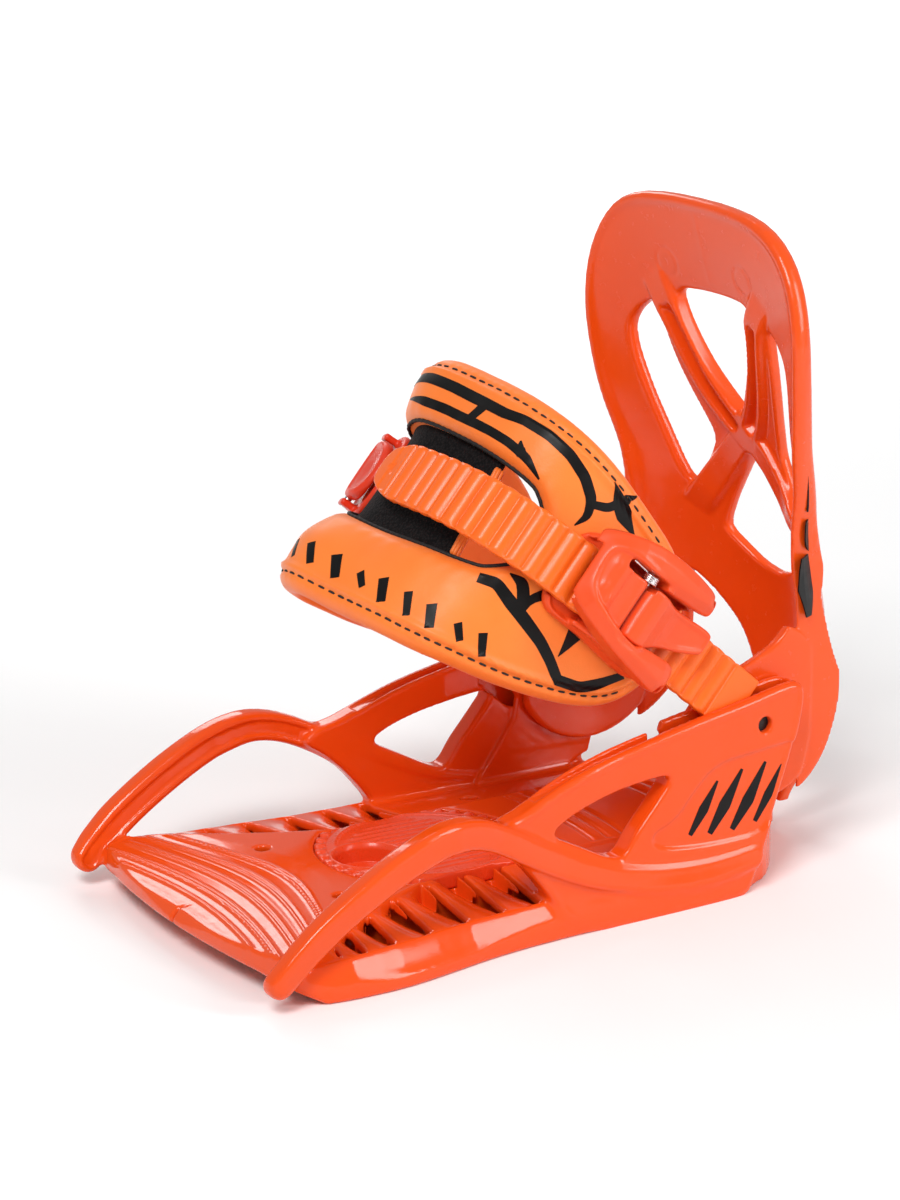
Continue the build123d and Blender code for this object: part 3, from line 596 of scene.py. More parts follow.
def make_strap(name, start, stop, ribs=None):
    step = 0.4
    low, high = (start - 2, -11.4, -2.8), (stop + 2, 11.4, 3.6)
    s, v, o = grid_axes(low, high, step)
    field = strap_field(s, v, o, start, stop, ribs)
    return surface(name, field, low, step, place_on_arch)


mat_strap = moulded_plastic("strap_plastic", (0.90, 0.135, 0.010), (0.93, 0.150, 0.013), 0.34, 0.1, 0.03)
arch_middle = ARCH_LENGTH / 2
ladder = make_strap("ladder_body", 9.0, arch_middle + 22.0, (near_s(20), arch_middle + 8.5))
finish_piece(ladder, "ladder", mat_strap, "strap_plastic", "ladder_strap")
far_piece = make_strap("far_strap_body", arch_middle + 45.0, ARCH_LENGTH - 9.0)
finish_piece(far_piece, "strap", mat_strap, "strap_plastic", "far_strap")


# ------------------------------------------------------------------ padded strap
PAD_MIDDLE = -10.7
PAD_EDGE_RADIUS = 4.2
STITCH_INSET = 4.15
pad_u = even_u + (even_lift - 5.2) * normal_u


def pad_s(u, side=1):
    """Arch length where the pad's outer face reaches height u, on the near side or the far one."""
    top = int(np.argmax(pad_u))
    if side > 0:
        return float(np.interp(u, np.maximum.accumulate(pad_u[:top + 1]), arch_even[:top + 1]))
    return float(np.interp(u, np.maximum.accumulate(pad_u[top:][::-1]), arch_even[top:][::-1]))


crest_s = float(arch_even[int(np.argmax(pad_u))])
front_near = [(38, -12), (43, -22), (51, -29), (65, -35), (85, -41), (101, -44), (111, -46)]
rear_near = [(110, 38.6), (93, 36), (74, 31), (55, 26), (45, 19), (39, 10)]
pad_outline = [(pad_s(36.6), -1)] + [(pad_s(u), v) for u, v in front_near] + [(crest_s, -47.6)]
pad_outline += [(pad_s(u, -1), v * 1.03) for u, v in reversed(front_near)] + [(pad_s(36.6, -1), -1)]
pad_outline += ([(pad_s(u, -1), v) for u, v in reversed(rear_near)] + [(crest_s, 41.6)]
                + [(pad_s(u), v) for u, v in rear_near])
pad_outline = chaikin(pad_outline, 2)
slot_near = [(99.5, -6.5), (104, -11), (109, -15)]
slot_rear = [(109, 16), (104, 12.8), (99.5, 7.5)]
slot_outline = [(pad_s(96.5), 0.5)] + [(pad_s(u), v) for u, v in slot_near] + [(crest_s, -19)]
slot_outline += [(pad_s(u, -1), v) for u, v in reversed(slot_near)] + [(pad_s(96.5, -1), 0.5)]
slot_outline += ([(pad_s(u, -1), v) for u, v in reversed(slot_rear)] + [(crest_s, 19.6)]
                 + [(pad_s(u), v) for u, v in slot_rear])
slot_outline = chaikin(slot_outline, 3)


def pad_profile(s, v):
    """Distance to the pad's edge, and the heights of its outer and inner faces over the middle."""
    outer_edge = outline_distance(s, v, pad_outline)
    slot_edge = -outline_distance(s, v, slot_outline)
    edge = np.maximum(outer_edge, slot_edge)
    depth = np.clip(-edge, 0, 60)
    swell = 1 - np.exp(-depth / 7.0)
    under_buckle = smoothstep(30, 12, np.hypot(
        np.minimum(s - pad_s(66), 0) * 0.6 + np.maximum(s - pad_s(66), 0) * 0.8,
        np.maximum(np.abs(v) - 4, 0)))
    top = 4.4 + (1.9 - 0.9 * under_buckle) * swell
    top = top + 0.85 * bead(outer_edge + 6.0, 0.95)
    top = top - 0.75 * bead(outer_edge + STITCH_INSET, 0.6) - 0.35 * smoothstep(-4.8, -4.0, outer_edge)
    top = top + 0.10 * np.sin(s * 1.75) * bead(outer_edge + 3.2, 1.6)
    top = top + 0.10 * np.sin(s * 0.9 + 2.0 * np.sin(v * 0.31)) * bead(slot_edge + 3.0, 2.5)
    top = top + 0.12 * np.sin(s * 0.11 + 0.05 * v) * swell
    bottom = 4.7 + 0.7 * swell
    return outer_edge, slot_edge, edge, top, bottom


def pad_top(s, v):
    """Height of the pad's outer face on the arch."""
    s, v = np.asarray(s, float), np.asarray(v, float)
    outer_edge, slot_edge, edge, top, bottom = pad_profile(s, v)
    r = PAD_EDGE_RADIUS
    roll = np.clip(edge + r, 0, r)
    return PAD_MIDDLE + top - r + np.sqrt(np.maximum(r * r - roll * roll, 0.0))


def make_pad():
    step = 0.8
    low, high = (pad_s(36) - 6, -54.0, -18.0), (pad_s(36, -1) + 6, 46.0, -2.6)
    s, v, o = grid_axes(low, high, step)
    ss, vv = np.broadcast_arrays(s[:, :, 0], v[:, :, 0])
    profile = pad_profile(ss.astype(float), vv.astype(float))
    outer_edge, slot_edge, edge, top, bottom = (a[:, :, None] for a in profile)
    r = PAD_EDGE_RADIUS
    shift, half = (top - bottom) / 2, (top + bottom) / 2
    t = np.abs(o - PAD_MIDDLE - shift) - (half - r)
    field = np.hypot(np.maximum(edge + r, 0), np.maximum(t, 0)) + np.minimum(np.maximum(edge + r, t), 0) - r
    return surface("pad_body", field, low, step, place_on_pad)


def leather(name, low, high):
    """Coated synthetic leather: fine pebble grain, soft sheen and slight tone changes over the foam."""
    material, tree, shader = new_material(name)
    vector = coordinates(tree, (1, 1, 1))
    colour = ramp(tree, noise(tree, vector, 30.0, 4.0), [(0.32, low), (0.7, high)])
    tree.links.new(colour, shader.inputs["Base Color"])
    grain = tree.nodes.new("ShaderNodeTexVoronoi")
    grain.inputs["Scale"].default_value = 1500.0
    tree.links.new(vector, grain.inputs["Vector"])
    rough = ramp(tree, noise(tree, vector, 160.0, 4.0), [(0.3, (0.40,) * 3), (0.75, (0.52,) * 3)])
    tree.links.new(rough, shader.inputs["Roughness"])
    bump(tree, shader, grain.outputs["Distance"], 0.22, 0.00012)
    bump(tree, shader, noise(tree, vector, 90.0, 3.0), 0.12, 0.0006)
    adjust(shader, {"Specular IOR Level": 0.4, "Sheen Weight": 0.15, "Sheen Roughness": 0.4})
    return material


def knit(name):
    """Black knit-faced foam: a fine loop pattern and a dry sheen."""
    material, tree, shader = new_material(name)
    vector = coordinates(tree, (1, 1, 1))
    cells = tree.nodes.new("ShaderNodeTexVoronoi")
    cells.inputs["Scale"].default_value = 1250.0
    tree.links.new(vector, cells.inputs["Vector"])
    colour = ramp(tree, cells.outputs["Distance"],
                  [(0.1, (0.016, 0.013, 0.013)), (0.65, (0.003, 0.0025, 0.003))])
    tree.links.new(colour, shader.inputs["Base Color"])
    adjust(shader, {"Roughness": 0.9, "Specular IOR Level": 0.15, "Sheen Weight": 0.04,
                    "Sheen Roughness": 0.5})
    bump(tree, shader, cells.outputs["Distance"], 0.6, 0.0003)
    bump(tree, shader, noise(tree, vector, 420.0, 4.0, 0.7), 0.4, 0.0004)
    return material


def thread(name):
    material, tree, shader = new_material(name)
    vector = coordinates(tree, (1, 1, 1))
    colour = ramp(tree, noise(tree, vector, 3000.0),
                  [(0.3, (0.004, 0.004, 0.004)), (0.7, (0.014, 0.013, 0.013))])
    tree.links.new(colour, shader.inputs["Base Color"])
    shader.inputs["Roughness"].default_value = 0.7
    return material


def tube(name, paths, radius, sides=6, closed=False):
    """One mesh of round tubes along paths, tapered at open ends."""
    vertices, faces = [], []
    for path in paths:
        path = np.asarray(path, float)
        count = len(path)
        tangent = np.gradient(path, axis=0) if not closed else np.roll(path, -1, 0) - np.roll(path, 1, 0)
        tangent /= np.linalg.norm(tangent, axis=1, keepdims=True) + 1e-9
        helper = np.array([0.31, 0.82, 0.48])
        a = np.cross(tangent, helper)
        a /= np.linalg.norm(a, axis=1, keepdims=True) + 1e-9
        b = np.cross(tangent, a)
        first = len(vertices)
        for i in range(count):
            size = radius * (0.55 if (not closed and i in (0, count - 1)) else 1.0)
            for k in range(sides):
                angle = 2 * math.pi * k / sides
                vertices.append(path[i] + size * (math.cos(angle) * a[i] + math.sin(angle) * b[i]))
        rings = count if closed else count - 1
        for i in range(rings):
            for k in range(sides):
                i2, k2 = (i + 1) % count, (k + 1) % sides
                faces.append((first + i * sides + k, first + i * sides + k2, first + i2 * sides + k2,
                              first + i2 * sides + k))
        if not closed:
            faces.append(tuple(first + k for k in range(sides))[::-1])
            faces.append(tuple(first + (count - 1) * sides + k for k in range(sides)))
    return linked_mesh(name, vertices, faces, True)


def inset_path(outline, inset, step):
    """An outline moved inward and resampled at even steps, as arrays of s and v."""
    points = np.array(chaikin(outline, 1))
    closed = np.vstack([points, points[:1]])
    run = np.concatenate([[0], np.cumsum(np.linalg.norm(np.diff(closed, axis=0), axis=1))])
    wanted = np.arange(0, run[-1], step)
    s, v = np.interp(wanted, run, closed[:, 0]), np.interp(wanted, run, closed[:, 1])
    ds, dv = np.roll(s, -3) - np.roll(s, 3), np.roll(v, -3) - np.roll(v, 3)
    length = np.hypot(ds, dv) + 1e-9
    area = 0.5 * np.sum(s * np.roll(v, -1) - v * np.roll(s, -1))
    turn = 1.0 if area > 0 else -1.0
    return s - turn * inset * dv / length, v + turn * inset * ds / length


mat_leather = leather("pad_leather", (0.92, 0.195, 0.022), (0.95, 0.225, 0.030))
mat_knit = knit("lining_knit")
mat_thread = thread("thread_black")

pad_body = make_pad()
finish_piece(pad_body, "strap", mat_leather, "pad_leather", "pad_shell", "piping_front", "piping_rear")


def make_stitches():
    s, v = inset_path(pad_outline, STITCH_INSET, 0.4)
    o = pad_top(s, v) + 0.34
    low_s, high_s = pad_s(45), pad_s(45, -1)
    paths = []
    length, gap = 8, 3
    rise = np.array([-0.3, -0.02, 0.06, 0.1, 0.1, 0.06, -0.02, -0.3])
    for index in range(0, len(s) - length, length + gap):
        part = slice(index, index + length)
        if s[part].min() > low_s and s[part].max() < high_s:
            paths.append(on_pad(s[part], v[part], o[part] + rise))
    return tube("pad_stitching", paths, 0.36)


stitches = make_stitches()
finish_piece(stitches, "strap", mat_thread, "lining")


def make_lining():
    step = 0.6
    low, high = (pad_s(100) - 2, -24.0, -15.4), (pad_s(96, -1) + 4, 24.0, -8.0)
    s, v, o = grid_axes(low, high, step)
    ss, vv = (a.astype(float) for a in np.broadcast_arrays(s[:, :, 0], v[:, :, 0]))
    region = outline_distance(ss, vv, slot_outline) - 2.0
    start = pad_s(114.8) + 0.14 * (vv + 8)
    region = np.maximum(region, start - ss)[:, :, None]
    depth = np.clip(-region, 0, 20)
    sag = -0.9 * (1 - np.exp(-depth / 5.0))
    top, bottom = -10.4 + sag, -12.9 + sag
    field = smax(region, smax(o - top, bottom - o, 0.8), 0.8)
    return surface("slot_lining", field, low, step, place_on_pad)


lining = make_lining()
finish_piece(lining, "strap", mat_knit, "lining", "pad_lining")

tape_v = np.linspace(-15.0, 15.0, 40)
tape_s = pad_s(114.8) + 0.14 * (tape_v + 8)
tape = tube("lining_tape", [on_pad(tape_s + d, tape_v, np.full(40, -11.6 + h))
                            for d, h in ((-0.2, 0.9), (-0.9, 0.0), (-0.2, -0.9), (0.9, 1.1))], 0.75, 8)
finish_piece(tape, "strap", mat_leather, "welt", "seam_tape")

rim_s, rim_v = inset_path(slot_outline, -0.15, 0.7)
rim_o = np.full(rim_s.size, -8.4) + 0.12 * np.sin(rim_s * 2.2)
slot_binding = tube("slot_binding", [on_pad(rim_s, rim_v, rim_o)], 0.62, 8, closed=True)
finish_piece(slot_binding, "strap", mat_thread, "lining")


# ------------------------------------------------------------------ buckle, in strap coordinates u, v, n
def place_in_strap(points):
    return in_strap(points[:, 0], points[:, 1], points[:, 2])


def lever_top(u):
    return level(u, [(42, 57.0), (45, 59.8), (50, 61.6), (58, 62.9), (66, 63.4), (74, 62.8), (80, 61.2),
                     (85, 58.6), (88.5, 55.6), (92.5, 51.0)])


lever_outline = chaikin([(91.8, 5), (91.6, 12.6), (89.4, 16.0), (84, 18.5), (76, 20.6), (66, 21.2),
                         (56, 20.9), (48, 20.2), (44.6, 18.6), (43.8, 15.6), (44.6, 13.2), (48, 12.5),
                         (60, 11.2), (71.6, 9.9), (72, 9.0), (72, -7.4), (71.6, -8.2), (58, -6.4),
                         (47, -5.1), (44.4, -6.4), (43.2, -9.4), (43.6, -13.6), (46.4, -15.8), (54, -15.6),
                         (66, -14.5), (76, -12.7), (84, -9.7), (88.8, -6.4), (91.4, -2.6)], 2)
plate_outline = chaikin([(87.6, 5), (87.4, 10.8), (84.5, 12.8), (78, 12.4), (70, 10.4), (62, 10.4),
                         (62, -8.6), (70, -8.4), (79, -6.0), (86, -2.6)], 2)
tray_outline = chaikin([(91.4, 2), (91.2, -6.6), (90.0, -11.0), (87.2, -13.9), (82, -14.3), (73, -14.2),
                        (60, -15.4), (50, -15.6), (46.2, -12.5), (46, 2), (46.2, 13), (50, 16.0),
                        (60, 16.4), (73, 16.2), (84, 15.4), (88.8, 12.8), (91.0, 9.0)], 2)
CHEEKS = ([(56, -11.6), (72, -11.0), (80, -8.6), (90, -4.6)],
          [(56, 16.6), (72, 15.8), (80, 15.2), (90, 11.6)])


def cheek_line(u, v):
    """Distance from the middle of the nearer cheek."""
    front, rear = (np.abs(v - level(u, line)) for line in CHEEKS)
    return np.minimum(front, rear)


def lever_field(u, v, n):
    uu, vv = (a.astype(float) for a in np.broadcast_arrays(u, v))
    edge = outline_distance(uu, vv, lever_outline)
    plate = outline_distance(uu, vv, plate_outline)
    high = lever_top(uu) - 1.8 * smoothstep(-4.2, 0.2, edge) * smoothstep(0.0, 2.0, plate)
    high = high + 0.45 * bead(plate - 1.3, 1.1) * (uu > 70)
    dip = (level(uu, [(79, 2.2), (82, 0.7), (90, 0.7)]) * smoothstep(0.7, -0.7, plate)
           + 0.8 * smoothstep(81, 75, uu) * smoothstep(0.5, -1.0, plate))
    dots = sum(np.exp(-(((uu - a) / 0.9) ** 2 + ((vv - b) / 1.5) ** 2))
               for a, b in ((84.6, 1.0), (84.6, 8.4), (81.4, -2.4), (79.6, 9.6)))
    high = high - dip + 0.5 * dots
    low = level(uu, [(41, 54.4), (60, 54.0), (80, 52.6), (86, 50.6), (92, 47.4)])
    low = np.where(plate < 0, np.maximum(low, high - 2.4), low)
    field = smax(edge, smax(n - high, low - n, 1.0), 1.2)
    nest = np.maximum(np.maximum(cheek_line(uu, vv) - 1.5, n - (lever_top(uu) - 2.9)),
                      np.abs(uu - 72.5) - 16.0)
    notch = np.maximum(np.abs(uu - 46.6) - 0.8, np.maximum(np.minimum(16.6 - vv, vv + 12.4), n - 60.0))
    window = smax(np.abs(uu - 74.2) - 7.6, np.abs(vv - 10.9) - 1.6, 1.5)
    field = smax(field, -notch, 0.5)
    return np.maximum(smax(field, -window, 0.7), -nest)


pawl_outline = chaikin([(70.8, -7.6), (70.8, 9.0), (69, 9.4), (60, 9.0), (52, 9.4), (42, 10.4), (38.8, 9.8),
                        (38.0, 7.4), (38.2, 3.6), (40, 2.2), (47, -1.2), (54, -3.6), (60, -6.8), (65, -8.2),
                        (70, -8.0)], 2)


def pawl_field(u, v, n):
    uu, vv = (a.astype(float) for a in np.broadcast_arrays(u, v))
    high = level(uu, [(37, 55.0), (39.5, 57.2), (42, 57.2), (48, 56.8), (53, 57.1), (57, 58.2),
                      (60.5, 60.4), (63.5, 62.2), (66.5, 62.8), (69.4, 61.8), (71, 60.4)])
    edge = outline_distance(uu, vv, pawl_outline)
    high = high + 0.6 * bead(edge + 1.0, 0.9) * smoothstep(60, 54, uu)
    low = level(uu, [(37, 53.0), (46, 53.2), (57, 55.0), (60.5, 52.9), (63, 52.9), (66, 55.4), (71, 57.4)])
    field = smax(edge, smax(n - high, low - n, 0.8), 1.0)
    recess = np.hypot(uu - 71.4, n - 59.2) - 3.0
    return smax(field, -np.maximum(recess, 7.6 - vv), 0.4)


near_half = even_u.size // 2
near_slope = np.sqrt(1 + (slope_n[:near_half] / np.maximum(slope_u[:near_half], 0.05)) ** 2)


def tray_field(u, v, n):
    uu, vv = (a.astype(float) for a in np.broadcast_arrays(u, v))
    edge = outline_distance(uu, vv, tray_outline)
    arch = np.interp(uu, even_u[:near_half], even_n[:near_half])
    o = (n - arch) / np.interp(uu, even_u[:near_half], near_slope)
    rim = 1.3 * bead(edge + 1.0, 0.8) + 1.0 * smoothstep(-4.0, -2.5, edge) * smoothstep(80, 70, uu)
    floor = smax(edge, smax(o + 2.7 - rim * (np.abs(vv - 1) > 10.6), -4.6 - o, 0.5), 0.7)
    cheek_top = level(uu, [(46, 52.4), (58, 58.2), (66, 59.6), (76, 58.8), (83, 56.4), (88, 53.0),
                           (91, 50.0)])
    cheek = smax(smax(cheek_line(uu, vv) - 1.0, np.abs(uu - 72.5) - 15.5, 1.0),
                 smax(n - cheek_top, -4.0 - o, 0.6), 0.7)
    cheek = smax(cheek, uu - level(n, [(40, 74.6), (48, 76.4), (54, 78.4), (58, 78.8)]), 0.5)
    skirt = smax(smax(np.abs(edge + 2.0) - 0.9, uu - 80.0, 2.0),
                 smax(n - level(uu, [(48, 53.0), (60, 53.2), (74, 51.6), (80, 48.6)]), -4.0 - o, 0.6), 0.8)
    skirt = np.maximum(skirt, 10.8 - np.abs(vv - 1) + 0 * n)
    body = smin(smin(floor, cheek, 0.8), skirt, 1.0)
    screw = np.hypot(uu - 48.0, vv) - 3.6
    return smax(body, -np.maximum(screw, -3.9 - o), 0.3)


def make_buckle_part(name, field, low, high):
    return make_piece(name, field, low, high, 0.42, place_in_strap)


def lever_room(u, v, n):
    """Distance from the tray and the ladder strap, the least over the lever's swing."""
    room = np.full(np.broadcast_shapes(u.shape, v.shape, n.shape), 9.0)
    for angle in LEVER_OPEN_STEPS:
        turn = math.radians(angle)
        du, dn = u - LEVER_PIN_U, n - LEVER_PIN_N
        uu = LEVER_PIN_U + du * math.cos(turn) + dn * math.sin(turn)
        nn = LEVER_PIN_N - du * math.sin(turn) + dn * math.cos(turn)
        arch = np.interp(uu, even_u[:near_half], even_n[:near_half])
        slope = np.interp(uu, even_u[:near_half], near_slope)
        ladder_band = np.maximum(np.abs(v) - 10.6, (nn - arch) / slope - 2.4)
        tray_floor = np.maximum(outline_distance(uu, v + 0 * uu, tray_outline), (nn - arch) / slope + 0.1)
        room = np.minimum(room, np.minimum(tray_floor, ladder_band))
    return room


def swinging_lever(u, v, n):
    field = lever_field(u, v, n)
    rear = u[:, 0, 0] > 75.0
    field[rear] = smax(field[rear], 0.45 - lever_room(u[rear], v, n), 0.4)
    return field


mat_buckle = moulded_plastic("buckle_plastic", (0.82, 0.075, 0.012), (0.85, 0.083, 0.015), 0.40, 0.1)
lever_body = make_buckle_part("lever_body", swinging_lever, (41.0, -17.5, 46.0), (94.0, 23.0, 65.5))
finish_piece(lever_body, "lever", mat_buckle, "buckle_plastic", "buckle_lever")
pawl_body = make_buckle_part("pawl_body", pawl_field, (36.5, -9.8, 51.5), (72.5, 12.0, 64.5))
finish_piece(pawl_body, "pawl", mat_buckle, "buckle_plastic", "buckle_pawl")
tray_body = make_buckle_part("buckle_tray", tray_field, (44.0, -17.5, 38.0), (93.5, 18.5, 61.5))
finish_piece(tray_body, "strap", mat_buckle, "buckle_plastic", "buckle_base")


def metal(name, low, high, roughness, scale=400.0):
    """Plated or blackened steel: brushed along one direction, with faint handling marks."""
    material, tree, shader = new_material(name)
    vector = coordinates(tree, (1, 1, 6))
    colour = ramp(tree, noise(tree, vector, scale, 3.0), [(0.3, low), (0.7, high)])
    tree.links.new(colour, shader.inputs["Base Color"])
    gloss = ramp(tree, noise(tree, vector, scale * 2, 4.0),
                 [(0.3, (roughness - 0.06,) * 3), (0.75, (roughness + 0.08,) * 3)])
    tree.links.new(gloss, shader.inputs["Roughness"])
    shader.inputs["Metallic"].default_value = 1.0
    bump(tree, shader, noise(tree, vector, scale * 4, 2.0), 0.08, 0.00005)
    return material


mat_bright = metal("plated_steel", (0.62, 0.62, 0.63), (0.78, 0.78, 0.79), 0.22)
mat_adjuster = moulded_plastic("adjuster_plastic", (0.74, 0.040, 0.010), (0.78, 0.046, 0.012), 0.34, 0.0)
mat_disc = moulded_plastic("disc_plastic", (0.78, 0.062, 0.012), (0.82, 0.070, 0.014), 0.28, 0.2)
mat_dark = metal("blackened_steel", (0.035, 0.033, 0.032), (0.06, 0.056, 0.054), 0.42)


def pin_path(u, n, v_low, v_high):
    return in_strap(np.full(12, u), np.linspace(v_low, v_high, 12), np.full(12, n))


def coil(u, n, v_low, v_high, radius, leg_u, leg_n):
    """A torsion spring about its pin, with one leg along the buckle."""
    turns = 4
    t = np.linspace(0, turns, turns * 22)
    angle = 2 * math.pi * t
    ring = in_strap(u + radius * np.cos(angle), v_low + (v_high - v_low) * t / turns,
                    n + radius * np.sin(angle))
    leg = np.linspace(0, 1, 10)
    end = in_strap(u + radius + (leg_u - u - radius) * leg, np.full(10, v_high), n + (leg_n - n) * leg)
    return np.concatenate([ring, end])


lever_pin_body = tube("lever_pin_body", [pin_path(LEVER_PIN_U, LEVER_PIN_N, -7.6, 14.6)], 0.9, 16)
finish_piece(lever_pin_body, "strap", mat_bright, "steel", "lever_pin")
pawl_pin_body = tube("pawl_pin_body", [pin_path(71.4, 57.2, -11.0, 15.6)], 1.25, 16)
finish_piece(pawl_pin_body, "strap", mat_bright, "steel", "pawl_pin")
lever_coil = tube("lever_coil", [coil(LEVER_PIN_U, LEVER_PIN_N - 0.1, -3.6, 0.4, 1.2, 82.6, 55.2)], 0.3, 8)
finish_piece(lever_coil, "strap", mat_bright, "steel", "lever_spring")
pawl_coil = tube("pawl_coil", [coil(71.4, 58.2, 9.6, 12.0, 2.15, 81.0, 59.4)], 0.46, 8)
finish_piece(pawl_coil, "strap", mat_bright, "steel", "pawl_spring")


# ------------------------------------------------------------------ far side adjuster, disc and fixings
ADJUSTER_U, ADJUSTER_N = 106.3825, -41.6025
ADJUSTER_TILT = math.radians(30.0)
TAB_PIN_X, TAB_PIN_Z = 5.0, 7.3
ADJUSTER_ALONG, ADJUSTER_OUT = (-0.8214, -0.5704), (0.5704, -0.8214)


def place_adjuster(points):
    """Tilts points about the adjuster's pin and puts them on the far side of the arch."""
    v, across, above = points[:, 1], points[:, 0] - TAB_PIN_X, points[:, 2] - TAB_PIN_Z
    x = TAB_PIN_X + across * math.cos(ADJUSTER_TILT) - above * math.sin(ADJUSTER_TILT)
    z = TAB_PIN_Z + across * math.sin(ADJUSTER_TILT) + above * math.cos(ADJUSTER_TILT)
    u = ADJUSTER_U + x * ADJUSTER_ALONG[0] + z * ADJUSTER_OUT[0]
    n = ADJUSTER_N + x * ADJUSTER_ALONG[1] + z * ADJUSTER_OUT[1]
    return in_strap(u, v, n)


def plate_field(x, v, z):
    xx, vv = np.broadcast_arrays(x, v)
    edge = outline_distance(xx, vv, chaikin([(-12.5, -9.5), (-12.5, 9.5), (-5, 15.6), (6.5, 15.6),
                                             (12, 7.5), (12, -7.5), (6.5, -15.6), (-5, -15.6)], 2))
    high = 4.2 + 0.5 * bead(edge + 1.3, 0.9)
    body = smax(edge, smax(z - high, 1.7 - z, 0.9), 1.0)
    lug = smax(smax(np.abs(np.abs(vv) - 12.4) - 1.2, np.abs(xx - 4.8) - 3.2, 1.2),
               smax(z - 9.2, 2.5 - z, 1.2), 0.8)
    hole = np.hypot(xx + 4.0, vv) - 3.6
    return smax(smin(body, lug, 0.8), -np.maximum(hole, 2.4 - z), 0.3)


def tab_field(x, v, z):
    xx, vv = np.broadcast_arrays(x, v)
    edge = outline_distance(xx, vv, chaikin([(-11.0, -4.5), (-11.0, 4.5), (-7, 9.6), (-1, 10.8),
                                             (7.4, 10.4), (7.4, -10.4), (-1, -10.8), (-7, -9.6)], 2))
    dish = 1.3 * bead(np.hypot(xx + 3.0, vv * 0.75), 4.6)
    high = 9.2 + 0.5 * bead(edge + 1.5, 1.0) - dish - 0.06 * np.clip(xx, -12, 0) ** 2 * 0.3
    body = smax(edge, smax(z - high, 5.5 - z, 0.9), 1.2)
    return np.maximum(body, 1.4 - np.hypot(xx - TAB_PIN_X, z - TAB_PIN_Z))


def disc_field(x, y, z):
    xx, yy = np.broadcast_arrays(x, y)
    reach = np.hypot(xx, yy)
    turn = np.arctan2(yy, xx)
    tooth = smoothstep(-0.2, 0.4, np.cos(turn * DISC_TEETH))
    teeth = 0.55 * tooth * smoothstep(-3.4, -2.4, reach - DISC_RADIUS)
    flange = smax(reach - DISC_RADIUS + teeth, np.abs(yy) - DISC_HALF_WIDTH, 0.8)
    rings = 0.45 * bead(reach - 27.5, 0.7) - 0.35 * bead(reach - 30.2, 0.6)
    ribs = (0.35 * smoothstep(0.3, 0.9, np.cos(yy * 2.1)) * smoothstep(24, 22, reach)
            * (np.hypot(np.abs(xx) - 20, yy) > 12.5))
    high = 16.3 + rings + ribs - 0.8 * smoothstep(-3.2, -2.6, reach - DISC_RADIUS) * tooth
    body = smax(flange, smax(z - high, 11.15 - z, 0.6), 0.7)
    plug = smax(smax(reach - 26.0, np.abs(yy) - 18.8, 0.8), smax(z - 12.0, 0.05 - z, 0.5), 0.5)
    body = np.minimum(body, plug)
    for place in SCREW_PLACES:
        away = np.hypot(xx - place, yy)
        bowl = away - level(z, [(0, 3.2), (5, 3.2), (10, 7.6), (10.2, 10.0), (15.2, 10.2), (17.2, 11.4)])
        collar = smax(away - 12.0, smax(z - 16.9, 12.0 - z, 0.5), 0.6)
        body = smax(smin(body, collar, 0.4), -bowl, 0.5)
    return smax(body, 2.6 - reach, 0.4)


adjuster_plate_body = make_piece("adjuster_plate_body", plate_field, (-14, -17, 0.5), (13.5, 17, 11),
                                 0.4, place_adjuster)
finish_piece(adjuster_plate_body, "strap", mat_adjuster, "buckle_plastic", "adjuster_plate")
adjuster_tab_body = make_piece("adjuster_tab_body", tab_field, (-12.5, -12.5, 4.0), (9, 12.5, 12), 0.4,
                               place_adjuster)
finish_piece(adjuster_tab_body, "tab", mat_adjuster, "buckle_plastic", "adjuster_tab")
disc_body = make_piece("disc_body", disc_field, (-36, -28.5, -1.0), (36, 28.5, 19), 0.5)
finish_piece(disc_body, "base", mat_disc, "disc_plastic", "mounting_disc")

screw_profile = np.array([(-4.0, 0.0, h) for h in np.linspace(-1.0, 3.4, 8)])
screw_head = np.array([(-4.0, 0.0, h) for h in np.linspace(2.2, 3.5, 6)])
adjuster_screw_body = tube("adjuster_screw_body", [place_adjuster(screw_profile)], 1.9, 16)
screw_head_body = tube("adjuster_screw_head", [place_adjuster(screw_head)], 3.4, 24)
finish_piece(adjuster_screw_body, "strap", mat_bright, "steel", "adjuster_screw")
finish_piece(screw_head_body, "strap", mat_bright, "steel")
for material, names in ((mat_dark, ("anchor_bolt_near", "anchor_bolt_far")),
                        (mat_bright, ("anchor_washers", "buckle_screw", "buckle_nut", "adjuster_pin"))):
    for name in names:
        nodes[name].data.materials.clear()
        nodes[name].data.materials.append(material)


